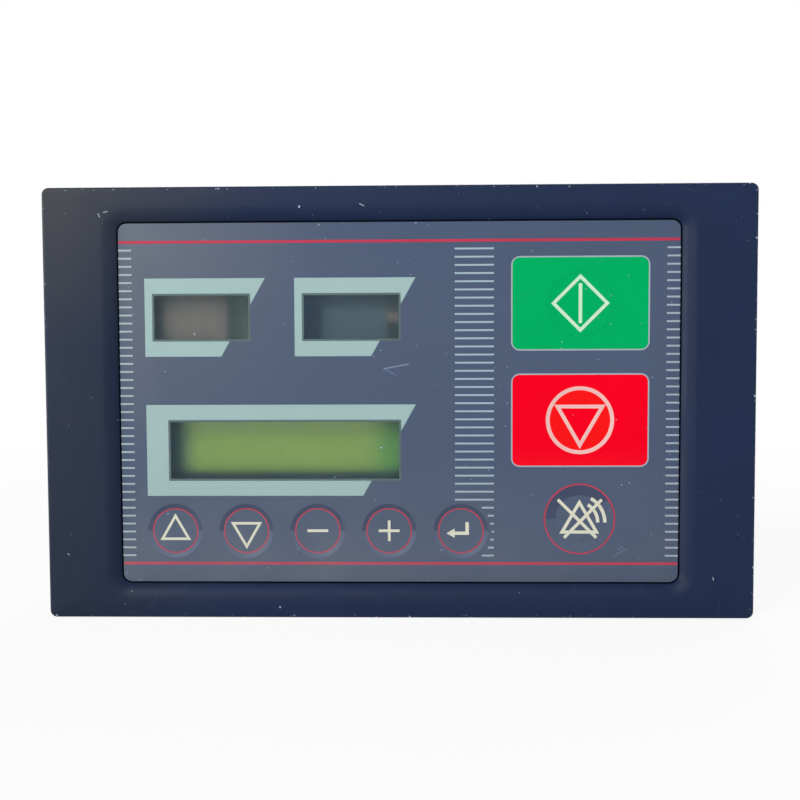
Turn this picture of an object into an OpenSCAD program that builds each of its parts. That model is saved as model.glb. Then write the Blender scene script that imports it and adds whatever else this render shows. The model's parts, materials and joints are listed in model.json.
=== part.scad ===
// Panel-mounted control module of a compressor.
// A moulded frame holds a metal plate with a printed film over it. Eight keys work through
// the film, and three windows show two number displays and a character display. Behind them
// are two circuit boards, with plug-in terminals that stand out of a sheet-metal cover.
// Everything is drawn in the front view, with x right, y up and z towards the viewer, and
// upright() then stands it up. z = 0 is the face that seats on the cabinet's panel.

/* [Film and frame] */
// Width of the printed front film
film_w = 158; // [158:1:180]
// Height of the printed front film
film_h = 102; // [102:1:116]
// Corner radius of the film
film_r = 2.4; // [1:0.2:4]
// Thickness of the film
film_t = 0.5; // [0.4:0.05:0.7]
// Gap between the film's edge and the frame
film_gap = 0.5; // [0.3:0.1:1]
// Depth of the film below the frame's front face
film_depth = 2.2; // [1.8:0.1:2.6]
// Width of the frame beside the film's opening, left and right
face_side = 20.5; // [20:0.5:30]
// Width of the frame above and below the film's opening
face_top = 9.5; // [9.5:0.5:16]
// Thickness of the frame's flange
flange_t = 6; // [5.6:0.2:8]
// Corner radius of the frame's outline
frame_r = 2; // [1.5:0.1:3]
// Radius of the frame's outer front edge
edge_r = 0.9; // [0.4:0.1:1.4]
// Radius of the rounded lip that runs down to the film
lip_r = 5.7; // [4.5:0.1:6.5]
// Width of the ledge that carries the plate
ledge_w = 6; // [5.5:0.5:7]
// Thickness of the ledge
ledge_t = 2.5; // [2:0.1:3]
// Height of the collar behind the flange
collar_h = 9; // [8.5:0.5:12]
// Wall of the collar
collar_t = 2.5; // [2:0.1:2.6]
// How far the collar stands outside the film's opening, left and right
collar_out = 5.5; // [5:0.1:6.5]
// How far the collar stands outside the film's opening, above and below
collar_up = 1.5; // [1.4:0.1:2]

/* [Panel fixing] */
// Diameter of the fixing studs
stud_d = 4; // [3:0.5:5]
// Length of the studs behind the panel face
stud_out = 16; // [12:1:25]
// Diameter of a stud's head, which is moulded into the flange
stud_head_d = 5.4; // [5:0.2:6]
// Length of that head
stud_in = 3.6; // [3:0.2:4]
// Distance of the studs from the frame's side edge
stud_edge = 6.5; // [6:0.5:8]
// Distance of the studs from the frame's top or bottom edge
stud_end = 16; // [12:1:20]
// Width of the seal's groove in the flange's back
seal_w = 3; // [2:0.2:3.4]
// Depth of the seal's groove
seal_t = 1.5; // [1:0.1:2]
// Distance from the cover to the seal's groove
seal_off = 0.5; // [0.3:0.1:0.8]

/* [Plate under the film] */
// Thickness of the adhesive spacer between the film and the plate
spacer_t = 1; // [0.8:0.1:1.2]
// Thickness of the aluminium plate
plate_t = 1.5; // [1.2:0.1:2]
// Diameter of the studs pressed into the plate
plate_stud_d = 3; // [2.5:0.5:3]
// Distance of these studs inside the plate's edge
plate_stud_in = 3.4; // [3.3:0.1:3.6]
// Height of the side studs above and below the middle
plate_stud_y = 24; // [18:1:30]

/* [Keys] */
// Depth of the dishes formed in the film at the round keys
dish_depth = 0.45; // [0.3:0.05:0.5]
// Depth of the shallow dishes of the start and stop keys
field_dish_depth = 0.15; // [0.1:0.05:0.3]
// Pitch of the round keys in the lower row
key_pitch = 20.4; // [20:0.2:20.6]
// Distance from the film's left edge to the first key of the lower row
row_left = 15.05; // [14.5:0.05:16]
// Distance from the film's bottom edge to the lower row
row_bottom = 14.6; // [14.2:0.1:15]
// Distance from the film's right edge to the column of large keys
column_right = 27.8; // [27:0.1:29]
// Distance from the film's top edge to the start key
start_top = 23; // [22.5:0.1:24]
// Distance from the film's bottom edge to the reset key
reset_bottom = 18.05; // [17.5:0.05:18.5]
// Share of the free height between its neighbours that lies above the stop key
stop_share = 0.577; // [0.4:0.01:0.6]
// Outer radius of a row key's dish
row_dish_r = 7.7; // [7.2:0.1:8]
// Outer radius of the start key's dish
start_dish_r = 8.8; // [8.4:0.1:9.2]
// Outer radius of the stop key's dish
stop_dish_r = 9.6; // [9.2:0.1:10]
// Outer radius of the reset key's dish
reset_dish_r = 9.5; // [9.2:0.1:9.8]
// Width of the slope round a dish
dish_slope = 1.2; // [1:0.1:1.6]
// Width of the slope round the reset key's dish
reset_slope = 2.1; // [1.4:0.1:2.4]
// Gap between a key's cap and the film at rest
cap_gap = 0.1; // [0.05:0.05:0.15]
// Thickness of a key's cap
cap_t = 1.8; // [1.4:0.1:2.2]
// Gap between a key's cap and its hole in the plate
cap_fit = 0.35; // [0.3:0.05:0.5]
// Diameter of a key's stem
stem_d = 3.8; // [3:0.1:4]
// Gap between a stem and the switch round it
stem_fit = 0.3; // [0.25:0.05:0.4]
// Side of the square key switches
switch_w = 12; // [11:0.1:12]
// Height of the key switches
switch_h = 3.8; // [3.4:0.1:4.2]

/* [Windows] */
// Width of the small windows
small_w = 26.7; // [25:0.1:27]
// Height of the small windows
small_h = 12.3; // [11:0.1:12.6]
// Distance from the film's left edge to the first small window
small_left = 10; // [9.5:0.1:11]
// Distance from the first small window to the second, from middle to middle
small_pitch = 42.5; // [41:0.5:44]
// Distance from the film's top edge to the small windows
small_top = 20.4; // [20:0.1:21]
// Width of the character window
char_w = 65.1; // [64:0.1:66]
// Height of the character window
char_h = 16.2; // [15:0.1:16.6]
// Distance from the film's left edge to the character window
char_left = 14.1; // [14:0.1:15]
// Distance from the film's bottom edge to the character window
char_bottom = 29.6; // [29.5:0.1:30]
// Gap round a window pane in the plate
pane_fit = 0.15; // [0.1:0.05:0.25]
// Width of the rim behind a window pane
pane_rim = 1.6; // [1:0.1:1.8]
// Thickness of that rim
pane_rim_t = 1; // [0.8:0.1:1.2]

/* [Print on the film] */
// Thickness of the ink
ink_t = 0.05; // [0.04:0.01:0.08]
// Width of the red lines across the film
line_w = 0.8; // [0.6:0.05:1.2]
// Distance from the film's top and bottom edges to the middle of the red lines
line_in = 5.3; // [4.5:0.1:6]
// Pitch of the ticks
tick_pitch = 2.2857; // [2.2:0.01:2.3]
// Thickness of a tick
tick_w = 0.5; // [0.4:0.05:0.8]
// Length of the ticks at the film's sides
tick_side = 3.7; // [3:0.1:4.5]
// Length of the ticks in the middle column
tick_mid = 11; // [9:0.5:12]
// Distance from the film's right edge to the right end of the middle column
tick_mid_right = 52; // [51:0.5:53]
// Ticks at the foot of the middle column that shrink to a dot and grow again
fade_count = 7; // [5:2:9]
// Width of the dark line round each window
window_line = 0.6; // [0.4:0.1:0.8]
// Height of the pale field above and below a window
field_h = 4.3; // [3.8:0.1:4.6]
// How far the pale field reaches past a window's right side
field_right = 4.2; // [3.5:0.1:4.5]
// Width of the pale field left of a small window
field_left = 2.1; // [1.6:0.1:2.6]
// Width of the pale field left of the character window
char_field_left = 6.2; // [5:0.1:7]
// Width of the large key fields
key_field_w = 38.8; // [37:0.2:39]
// Height of the large key fields
key_field_h = 26.5; // [25:0.5:27]
// Corner radius of the large key fields
key_field_r = 2.5; // [1.5:0.1:3.5]
// Width of the pale outline of the large key fields
key_outline = 0.4; // [0.3:0.05:0.8]
// Width of the thin red rings on the row keys
ring_w = 0.35; // [0.25:0.05:0.6]

/* [Displays] */
// Width of a number display
digits_w = 18; // [17:0.2:18.4]
// Height of a number display
digits_h = 14; // [13.5:0.5:15]
// Depth of a number display
digits_d = 8; // [7:0.2:8.2]
// Gap between the window panes and the displays
display_gap = 0.8; // [0.6:0.1:1]
// Distance from the left window's left side to its number display
digits_left_in = 1.6; // [1:0.2:2.4]
// Distance from the right window's left side to its number display
digits_right_in = 5.1; // [4.5:0.1:5.5]
// Diameter of the signal lamp beside the right number display
lamp_d = 3; // [2.6:0.1:3]
// How far the character display sits to the right of its window's middle
lcd_right = 1.4; // [0:0.1:1.6]
// How far the character display sits above its window's middle
lcd_up = 1.6; // [0:0.1:1.8]
// Width of the character display's metal frame beside the window
lcd_side = 2.45; // [2:0.05:2.5]
// Height of the character display's metal frame above and below the window
lcd_end = 4.4; // [4:0.1:4.4]
// Depth of the character display's metal frame
lcd_d = 6; // [5.6:0.1:6.2]
// Sheet thickness of the character display's metal frame
lcd_sheet = 0.5; // [0.4:0.1:0.6]
// How far the character display's board reaches past its metal frame on each side
lcd_tab = 5; // [4.8:0.1:5.2]
// Height of that board's middle above the middle of its window
lcd_board_up = 1; // [0.8:0.1:1.4]
// Distance of its fixing holes from the board's edges
lcd_hole_in = 2.5; // [2.4:0.1:2.6]

/* [Boards] */
// Thickness of the circuit boards
board_t = 1.6; // [1:0.1:2]
// Gap between a board's edge and the edge of the ledge, seen from behind
board_inset = 0; // [0:0.5:1]
// Front face of the display board, behind the panel face
display_board_z = 10.8; // [10.6:0.1:11]
// Distance between the two large boards
board_gap = 15; // [13:0.5:18]
// Distance of the spacers from the boards' edges
spacer_in = 3.2; // [3.2:0.1:4]
// Width across flats of the spacers
spacer_af = 5.5; // [5:0.5:5.5]
// Diameter of the screws that hold the boards
screw_d = 3; // [2.5:0.5:3]

/* [Terminals] */
// Pitch of the terminals
pole_pitch = 5.08; // [5:0.04:5.08]
// Height of the header's shroud above the board
header_h = 9; // [8:0.5:10]
// Height across a header
header_w = 10.5; // [10:0.5:11]
// Height across a plug
plug_w = 12.5; // [12:0.5:13]
// How far the plugs stand out of the cover
plug_out = 4; // [2:0.5:8]
// Distance from the board's top and bottom edges to the terminal rows
pole_in = 14; // [13.5:0.5:14.5]
// Distance from the board's left edge to the first lower terminal
pole_left = 11.5; // [10:0.5:13]
// Gap between the two lower terminal strips
pole_gap = 12; // [10:0.5:13]
// Distance from the board's left edge to the first upper terminal
pole_upper_left = 77.6; // [77:0.5:79]

/* [Cover] */
// Depth of the cover's back behind the panel face
cover_z = 50; // [49:1:60]
// Sheet thickness of the cover
cover_t = 1; // [0.8:0.1:1.2]
// Outer radius of the cover's bends
cover_r = 2; // [1.6:0.1:3]
// Gap between the cover and the collar
cover_fit = 0.1; // [0.1:0.05:0.3]
// Distance from the panel face to the cover's front edge
cover_front = 1; // [0.5:0.5:1.5]
// Height of the cover's screws above and below the middle
cover_screw_y = 30; // [26:1:34]
// Vent slots in a row at the cover's top and bottom
vent_count = 12; // [8:1:13]
// Width of a vent slot
vent_w = 3; // [2:0.5:3.5]
// Length of a vent slot
vent_l = 20; // [14:1:22]
// Pitch of the vent slots
vent_pitch = 10; // [8:0.5:10.5]

/* [Hidden] */
$fn = 48;
eps = 0.01;
press_gap = 0.01;

// Heights of the layers, towards the viewer
film_z = flange_t - film_depth;
spacer_z = film_z - film_t;
plate_z = spacer_z - spacer_t;
plate_back = plate_z - plate_t;
ledge_back = plate_back - ledge_t;
pane_back = plate_back - pane_rim_t;
display_z = pane_back - display_gap;
lcd_back = display_z - lcd_d;
lcd_board_back = lcd_back - board_t;
display_front = -display_board_z;
display_back = display_front - board_t;
main_front = display_back - board_gap;
main_back = main_front - board_t;

// Sizes across
open_w = film_w + 2 * film_gap;
open_h = film_h + 2 * film_gap;
open_r = film_r + film_gap;
frame_w = open_w + 2 * face_side;
frame_h = open_h + 2 * face_top;
ledge_open_w = film_w - 2 * ledge_w;
ledge_open_h = film_h - 2 * ledge_w;
collar_w = open_w + 2 * collar_out;
collar_hh = open_h + 2 * collar_up;
cover_w = collar_w + 2 * (cover_fit + cover_t);
cover_h = collar_hh + 2 * (cover_fit + cover_t);
seal_path_w = cover_w + 2 * seal_off;
seal_path_h = cover_h + 2 * seal_off;
board_w = ledge_open_w - 2 * board_inset;
board_h = ledge_open_h - 2 * board_inset;
small_left_x = -film_w / 2 + small_left + small_w / 2;
small_right_x = small_left_x + small_pitch;
small_y = film_h / 2 - small_top - small_h / 2;
char_x = -film_w / 2 + char_left + char_w / 2;
char_y = -film_h / 2 + char_bottom + char_h / 2;
row_x = -film_w / 2 + row_left;
row_y = -film_h / 2 + row_bottom;
column_x = film_w / 2 - column_right;
start_y = film_h / 2 - start_top;
reset_y = -film_h / 2 + reset_bottom;
reset_ring_r = reset_dish_r + 0.6;
column_free = start_y - 1.5 * key_field_h - reset_y - reset_ring_r;
stop_y = start_y - key_field_h - stop_share * column_free;
line_y = film_h / 2 - line_in;
tick_count = 2 * floor((line_y - tick_pitch + 0.02) / tick_pitch) + 1;
tick_mid_x = film_w / 2 - tick_mid_right;
lcd_w = char_w + 2 * lcd_side;
lcd_h = char_h + 2 * lcd_end;
lcd_board_w = lcd_w + 2 * lcd_tab;
lcd_board_h = lcd_h + 2 * lcd_tab;
pole_row_y = board_h / 2 - pole_in;
stud_x = frame_w / 2 - stud_edge;
stud_y = frame_h / 2 - stud_end;
spacer_x = board_w / 2 - spacer_in;
spacer_y = board_h / 2 - spacer_in;
lcd_x = char_x + lcd_right;
lcd_y = char_y + lcd_up;
lcd_board_y = lcd_y + lcd_board_up;
digits_left_x = small_left_x + (digits_w - small_w) / 2 + digits_left_in;
digits_right_x = small_right_x + (digits_w - small_w) / 2 + digits_right_in;
lamp_x = digits_right_x + digits_w / 2 + lamp_d / 2 + 0.4;

// Each key: name, place, and its dish's outer radius, slope and depth
KEYS = [
    ["key_up", row_x, row_y, row_dish_r, dish_slope, dish_depth],
    ["key_down", row_x + key_pitch, row_y, row_dish_r, dish_slope, dish_depth],
    ["key_minus", row_x + 2 * key_pitch, row_y, row_dish_r, dish_slope, dish_depth],
    ["key_plus", row_x + 3 * key_pitch, row_y, row_dish_r, dish_slope, dish_depth],
    ["key_enter", row_x + 4 * key_pitch, row_y, row_dish_r, dish_slope, dish_depth],
    ["key_start", column_x, start_y, start_dish_r, dish_slope, field_dish_depth],
    ["key_stop", column_x, stop_y, stop_dish_r, dish_slope, field_dish_depth],
    ["key_reset", column_x, reset_y, reset_dish_r, reset_slope, dish_depth],
];
// Each window: place and size
SMALL_LEFT = [small_left_x, small_y, small_w, small_h];
SMALL_RIGHT = [small_right_x, small_y, small_w, small_h];
CHARACTERS = [char_x, char_y, char_w, char_h];
WINDOWS = [SMALL_LEFT, SMALL_RIGHT, CHARACTERS];
// Places of the spacers between the boards. The one at the lower left stands between two keys.
SPACERS = [[-spacer_x, spacer_y], [0, spacer_y], [spacer_x, spacer_y],
    [row_x + 1.5 * key_pitch, -spacer_y], [spacer_x, -spacer_y]];
PLATE_STUDS = [for (s = [-1, 1], t = [-1, 1]) [s * (film_w / 2 - plate_stud_in), t * plate_stud_y],
    for (t = [-1, 1]) [0, t * (film_h / 2 - plate_stud_in)]];
LCD_HOLES = [for (s = [-1, 1], t = [-1, 1])
    [lcd_x + s * (lcd_board_w / 2 - lcd_hole_in), lcd_board_y + t * (lcd_board_h / 2 - lcd_hole_in)]];
// Each terminal strip: middle, row and number of poles
lower_left = -board_w / 2 + pole_left;
lower_right = lower_left + 12 * pole_pitch + pole_gap;
upper_left = -board_w / 2 + pole_upper_left;
POLES = [[lower_left + 6 * pole_pitch, -pole_row_y, 12], [lower_right + 4 * pole_pitch, -pole_row_y, 8],
    [upper_left + 5 * pole_pitch, pole_row_y, 10]];

// Stands the front view up, so that the front faces -Y and its height runs along +Z
module upright() {
    rotate([90, 0, 0]) children();
}

// A 2D outline made solid between two heights
module layer(low, high) {
    translate([0, 0, low]) linear_extrude(high - low) children();
}

function corner_points(x, y, r, from, steps) =
    [for (i = [0:steps]) [x + r * cos(from + 90 * i / steps), y + r * sin(from + 90 * i / steps)]];

// Rectangle with rounded corners, about a centre
module round_rect(w, h, r, steps = 8) {
    polygon(concat(
        corner_points(w / 2 - r, h / 2 - r, r, 0, steps),
        corner_points(r - w / 2, h / 2 - r, r, 90, steps),
        corner_points(r - w / 2, r - h / 2, r, 180, steps),
        corner_points(w / 2 - r, r - h / 2, r, 270, steps)));
}

// Sweeps a profile round a rounded rectangle: its x runs outwards and its y towards the viewer
module sweep_round(w, h, r) {
    for (turn = [0, 180]) {
        rotate([0, 0, turn]) translate([w / 2, 0, 0]) rotate([90, 0, 0])
            linear_extrude(h - 2 * r, center = true) children();
        rotate([0, 0, turn + 90]) translate([h / 2, 0, 0]) rotate([90, 0, 0])
            linear_extrude(w - 2 * r, center = true) children();
    }
    for (i = [0:3]) {
        sx = i == 0 || i == 3 ? 1 : -1;
        sy = i < 2 ? 1 : -1;
        translate([sx * (w / 2 - r), sy * (h / 2 - r), 0]) rotate([0, 0, 90 * i])
            rotate_extrude(angle = 90) translate([r, 0]) children();
    }
}

// A box between two heights, about a point of the front view
module block(x, y, w, h, low, high) {
    translate([x - w / 2, y - h / 2, low]) cube([w, h, high - low]);
}

// A round pin between two heights
module post(x, y, r, low, high) {
    translate([x, y, low]) cylinder(r = r, h = high - low);
}

// A hexagonal pin between two heights, by its width across flats
module hex_post(x, y, across, low, high) {
    translate([x, y, low]) cylinder(r = across / sqrt(3), h = high - low, $fn = 6);
}

// Frame

// Flange with its rounded front edge
module flange_solid() {
    steps = 4;
    rim = [for (i = [0:steps]) [edge_r * (cos(90 * i / steps) - 1), flange_t - edge_r * (1 - sin(90 * i / steps))]];
    sweep_round(frame_w, frame_h, frame_r)
        polygon(concat([[-frame_r, flange_t], [-frame_r, 0], [0, 0]], rim));
    block(0, 0, frame_w - 2 * frame_r, frame_h - 2 * frame_r, 0, flange_t);
}

// The opening: a lip that rounds down to the film, then a straight wall to the ledge
module opening_cut() {
    steps = 7;
    lip_angle = acos(1 - film_depth / lip_r);
    lip_w = lip_r * sin(lip_angle);
    lip = [for (i = [0:steps]) let (a = lip_angle * (1 - i / steps))
        [lip_w - lip_r * sin(a), flange_t - lip_r * (1 - cos(a))]];
    sweep_round(open_w, open_h, open_r)
        polygon(concat([[-open_r, flange_t + 1], [-open_r, plate_back], [0, plate_back]],
            lip, [[lip_w, flange_t + 1]]));
    block(0, 0, open_w - 2 * open_r, open_h - 2 * open_r, plate_back, flange_t + 1);
}

// Pockets that core out the side flanges from behind, with ribs between them
module side_pockets() {
    skin = 2.4;
    rim = 2.2;
    rib = 1.4;
    count = 4;
    inner = seal_path_w / 2 + seal_w + 1.2;
    outer = frame_w / 2 - rim;
    boss_r = stud_head_d / 2 + 1.5;
    reach = 2 * (stud_y - boss_r);
    pitch = (reach + rib) / count;
    for (s = [-1, 1], i = [0:count - 1])
        block(s * (inner + outer) / 2, -reach / 2 + pitch * (i + 0.5) - rib / 2,
            outer - inner, pitch - rib, -eps, flange_t - skin);
}

module bezel_frame() color("#26304e") upright() {
    boss_r = 3.6;
    boss_l = 4.2;
    difference() {
        union() {
            flange_solid();
            // collar, and the ledge inside it
            sweep_round(collar_w, collar_hh, 3) polygon([[-collar_t, eps], [-collar_t, -collar_h],
                [0, -collar_h], [0, eps]]);
            block(0, 0, collar_w - 2 * collar_t + eps, collar_hh - 2 * collar_t + eps, ledge_back, eps);
            // bosses for the cover's screws
            for (s = [-1, 1], t = [-1, 1])
                translate([s * (collar_w / 2 - collar_t - boss_l / 2), t * cover_screw_y, -collar_h / 2 - 0.3])
                    rotate([0, 90, 0]) cylinder(r = boss_r, h = boss_l + 1, center = true);
        }
        opening_cut();
        block(0, 0, ledge_open_w, ledge_open_h, ledge_back - 1, flange_t);
        side_pockets();
        // groove for the seal
        sweep_round(seal_path_w, seal_path_h, cover_r)
            polygon([[0, -eps], [seal_w, -eps], [seal_w, seal_t], [0, seal_t]]);
        for (s = [-1, 1], t = [-1, 1]) {
            post(s * stud_x, t * stud_y, stud_head_d / 2 + press_gap, -eps, stud_in);
            translate([s * collar_w / 2, t * cover_screw_y, -collar_h / 2 - 0.3])
                rotate([0, -90 * s, 0]) translate([0, 0, -1])
                    cylinder(r = insert_r + press_gap, h = 1 + collar_t + boss_l + 2);
        }
        for (p = PLATE_STUDS)
            post(p.x, p.y, plate_stud_d / 2 + 0.2, ledge_back - 1, plate_back + eps);
    }
}

// Studs moulded into the flange, with a plain lead at the free end
module panel_studs() color("#b9bcc0") upright() {
    lead = 0.8;
    for (s = [-1, 1], t = [-1, 1]) translate([s * stud_x, t * stud_y, 0]) mirror([0, 0, 1]) {
        translate([0, 0, -stud_in]) cylinder(r = stud_head_d / 2, h = stud_in);
        cylinder(r = stud_d / 2, h = stud_out - lead);
        translate([0, 0, stud_out - lead]) cylinder(r1 = stud_d / 2, r2 = stud_d / 2 - 0.6, h = lead);
    }
}

// Foam seal, level with the flange's back as it is when clamped
module panel_seal() color("#2a2a2c") upright() {
    sweep_round(seal_path_w, seal_path_h, cover_r)
        polygon([[press_gap, 0], [seal_w - press_gap, 0], [seal_w - press_gap, seal_t - press_gap],
            [press_gap, seal_t - press_gap]]);
}

// Film and print

// A sheet that follows the dishes: its 2D outline is the child, and its front is at z
module formed_sheet(z, t, keys) {
    difference() {
        union() {
            layer(z - t, z) children();
            for (k = keys)
                translate([k[1], k[2], z - k[5] - t]) cylinder(r1 = k[3] - k[4], r2 = k[3], h = k[5]);
        }
        for (k = keys) {
            translate([k[1], k[2], z - k[5]]) cylinder(r1 = k[3] - k[4], r2 = k[3], h = k[5]);
            post(k[1], k[2], k[3], z - eps, z + 1);
        }
    }
}

module front_film() color("#56617a") upright() {
    formed_sheet(film_z, film_t, KEYS) round_rect(film_w, film_h, film_r);
}

// A ring of ink
module ink_ring(key, r, w, low) {
    translate([key[1], key[2], 0]) layer(low, low + ink_t) difference() {
        circle(r);
        circle(r - w);
    }
}

module print_lines() color("#b93c55") upright() {
    for (s = [-1, 1]) block(0, s * line_y, film_w, line_w, film_z, film_z + ink_t);
    for (i = [0:4]) ink_ring(KEYS[i], row_dish_r - dish_slope, ring_w, film_z - dish_depth);
    ink_ring(KEYS[7], reset_ring_r, ring_w + 0.1, film_z);
}

// Length of a tick in the middle column, counted from its foot
function fade_length(i) = i >= fade_count ? tick_mid
    : [0.6, 1, 1.7, 3.4, 5][abs(i - (fade_count - 1) / 2)];

// Pale field round a window: a bar above with a slanted end, a bar left and a bar below
module window_field(win, left, foot) {
    slant = 0.56;
    inside = win[0] - win[2] / 2 - window_line;
    x0 = inside - left;
    x1 = win[0] + win[2] / 2 + window_line;
    y0 = win[1] - win[3] / 2 - window_line;
    y1 = win[1] + win[3] / 2 + window_line;
    tip = field_right / slant - field_h;
    layer(film_z, film_z + ink_t) difference() {
        union() {
            polygon([[x0, y1 + field_h], [x1 + field_right, y1 + field_h], [x1, y1 - tip], [x0, y1 - tip]]);
            translate([x0, y0 - field_h]) square([left + 1, y1 - y0 + 2 * field_h]);
            polygon([[x0, y0], [foot, y0], [foot - field_h * slant, y0 - field_h], [x0, y0 - field_h]]);
        }
        translate([inside, y0]) square([x1 - inside, y1 - y0]);
    }
}

module print_pale() color("#a3c4c4") upright() {
    first = -tick_pitch * (tick_count - 1) / 2;
    for (i = [0:tick_count - 1]) {
        y = first + tick_pitch * i;
        for (s = [-1, 1])
            block(s * (film_w / 2 - tick_side / 2), y, tick_side, tick_w, film_z, film_z + ink_t);
        block(tick_mid_x - fade_length(i) / 2, y, fade_length(i), tick_w, film_z, film_z + ink_t);
    }
    window_field(SMALL_LEFT, field_left, small_left_x + 8);
    window_field(SMALL_RIGHT, field_left, small_right_x + 8);
    window_field(CHARACTERS, char_field_left, char_x + 24.7);
    for (y = [start_y, stop_y]) translate([column_x, y, 0]) layer(film_z, film_z + ink_t) difference() {
        round_rect(key_field_w, key_field_h, key_field_r);
        round_rect(key_field_w - 2 * key_outline, key_field_h - 2 * key_outline, key_field_r - key_outline);
    }
}

// Colour field of a large key, which follows its dish
module key_field(key) {
    formed_sheet(film_z + ink_t, ink_t, [key]) translate([key[1], key[2]])
        round_rect(key_field_w - 2 * key_outline, key_field_h - 2 * key_outline, key_field_r - key_outline);
}

module start_field() color("#05a85f") upright() key_field(KEYS[5]);

module stop_field() color("#f00023") upright() key_field(KEYS[6]);

// Plate under the film

// Room for a window's pane, in 2D
module window_hole(win) {
    translate([win[0], win[1]]) square([win[2] + 2 * window_line, win[3] + 2 * window_line], center = true);
}

module keypad_spacer() color("#c9cbc4") upright() layer(plate_z, spacer_z) difference() {
    round_rect(film_w - 1, film_h - 1, film_r);
    for (win = WINDOWS) window_hole(win);
    for (k = KEYS) translate([k[1], k[2]]) circle(k[3] + 0.6);
}

function cap_r(key) = key[3] - key[4] - 0.3;

module front_plate() color("#b4b8bc") upright() difference() {
    layer(plate_back, plate_z) round_rect(film_w, film_h, film_r);
    translate([0, 0, plate_back - 1]) linear_extrude(plate_t + 2) for (win = WINDOWS) window_hole(win);
    for (k = KEYS) post(k[1], k[2], cap_r(k) + cap_fit, plate_back - 1, plate_z + 1);
    for (p = PLATE_STUDS)
        post(p.x, p.y, plate_stud_d / 2 + press_gap, plate_back - 1, plate_z + 1);
}

// Studs pressed through the plate, and the nuts that hold it to the ledge
plate_nut_h = 2.4;
module plate_studs() color("#c4c6c9") upright() for (p = PLATE_STUDS)
    post(p.x, p.y, plate_stud_d / 2, ledge_back - plate_nut_h - 1.2, plate_z);

module plate_nuts() color("#a9adb1") upright() for (p = PLATE_STUDS) difference() {
    hex_post(p.x, p.y, 5.5, ledge_back - plate_nut_h, ledge_back);
    post(p.x, p.y, plate_stud_d / 2 + press_gap, ledge_back - plate_nut_h - 1, ledge_back + 1);
}

// Clear pane that fills a window of the plate, with a rim glued behind it
module pane(win) {
    w = win[2] + 2 * (window_line - pane_fit);
    h = win[3] + 2 * (window_line - pane_fit);
    block(win[0], win[1], w, h, plate_back, spacer_z);
    block(win[0], win[1], w + 2 * pane_rim, h + 2 * pane_rim, pane_back, plate_back);
}

module window_left() color("#8c8a84", 0.5) upright() pane(SMALL_LEFT);

module window_right() color("#7d8a90", 0.5) upright() pane(SMALL_RIGHT);

module window_characters() color("#b8c4a8", 0.5) upright() pane(CHARACTERS);

// Keys

// Cap that the film presses on, with the stem that works the switch
module key_plunger(key) {
    top = film_z - key[5] - film_t - cap_gap;
    seat = display_front + switch_h;
    translate([key[1], key[2], 0]) {
        translate([0, 0, top - cap_t]) cylinder(r = cap_r(key), h = cap_t);
        translate([0, 0, top - cap_t - 1.6]) cylinder(r1 = stem_d / 2, r2 = stem_d / 2 + 1.6, h = 1.6);
        translate([0, 0, seat - 1]) cylinder(r = stem_d / 2, h = top - cap_t - seat + 1);
    }
}

module key_up() color("#d8d8d2") upright() key_plunger(KEYS[0]);
module key_down() color("#d8d8d2") upright() key_plunger(KEYS[1]);
module key_minus() color("#d8d8d2") upright() key_plunger(KEYS[2]);
module key_plus() color("#d8d8d2") upright() key_plunger(KEYS[3]);
module key_enter() color("#d8d8d2") upright() key_plunger(KEYS[4]);
module key_start() color("#d8d8d2") upright() key_plunger(KEYS[5]);
module key_stop() color("#d8d8d2") upright() key_plunger(KEYS[6]);
module key_reset() color("#d8d8d2") upright() key_plunger(KEYS[7]);

// Square push switches, each with a bore for the key's stem
module key_switches() color("#1c1c1e") upright() for (k = KEYS) difference() {
    union() {
        block(k[1], k[2], switch_w, switch_w, display_front, display_front + switch_h - 0.4);
        post(k[1], k[2], 3.4, display_front, display_front + switch_h);
    }
    post(k[1], k[2], stem_d / 2 + stem_fit, display_front + 1, display_front + switch_h + 1);
}

// Displays

// Number display of two figures: a moulded block with a figure's frame in its face
module digits(x) {
    groove = 0.4;
    difference() {
        block(x, small_y, digits_w, digits_h, display_z - digits_d, display_z);
        for (s = [-1, 1]) translate([x + s * 4.3, small_y, display_z - groove]) linear_extrude(1) difference() {
            square([6.4, 10.2], center = true);
            for (t = [-1, 1]) translate([0, t * 2.4]) square([4.2, 3.5], center = true);
        }
    }
}

module digits_left() color("#6e6f6c") upright() digits(digits_left_x);

module digits_right() color("#6e6f6c") upright() digits(digits_right_x);

// Socket strips that lift the number displays off the board
module digit_sockets() color("#1d1d1f") upright() for (x = [digits_left_x, digits_right_x], s = [-1, 1])
    block(x, small_y + s * 5.08, 15.2, 2.5, display_front, display_z - digits_d);

// Lamp with a domed end, on a tube that lifts it off the board
module signal_lamp() color("#c98f86") upright() {
    foot = display_z - 5.5;
    difference() {
        post(lamp_x, small_y, lamp_d / 2, display_front, foot);
        post(lamp_x, small_y, lamp_d / 2 - 0.8, display_front - 1, foot + 1);
    }
    post(lamp_x, small_y, lamp_d / 2, foot, display_z - lamp_d / 2);
    translate([lamp_x, small_y, display_z - lamp_d / 2]) rotate_extrude()
        intersection() {
            circle(lamp_d / 2);
            square(lamp_d);
        }
}

// Stamped frame that clamps the glass to its board
module lcd_bezel() color("#4a4c4e") upright() difference() {
    block(lcd_x, lcd_y, lcd_w, lcd_h, lcd_back, display_z);
    block(lcd_x, lcd_y, lcd_w - 2 * lcd_sheet, lcd_h - 2 * lcd_sheet, lcd_back - 1, display_z - lcd_sheet);
    block(lcd_x, lcd_y, char_w - 0.6, char_h - 0.2, lcd_back, display_z + 1);
}

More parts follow.
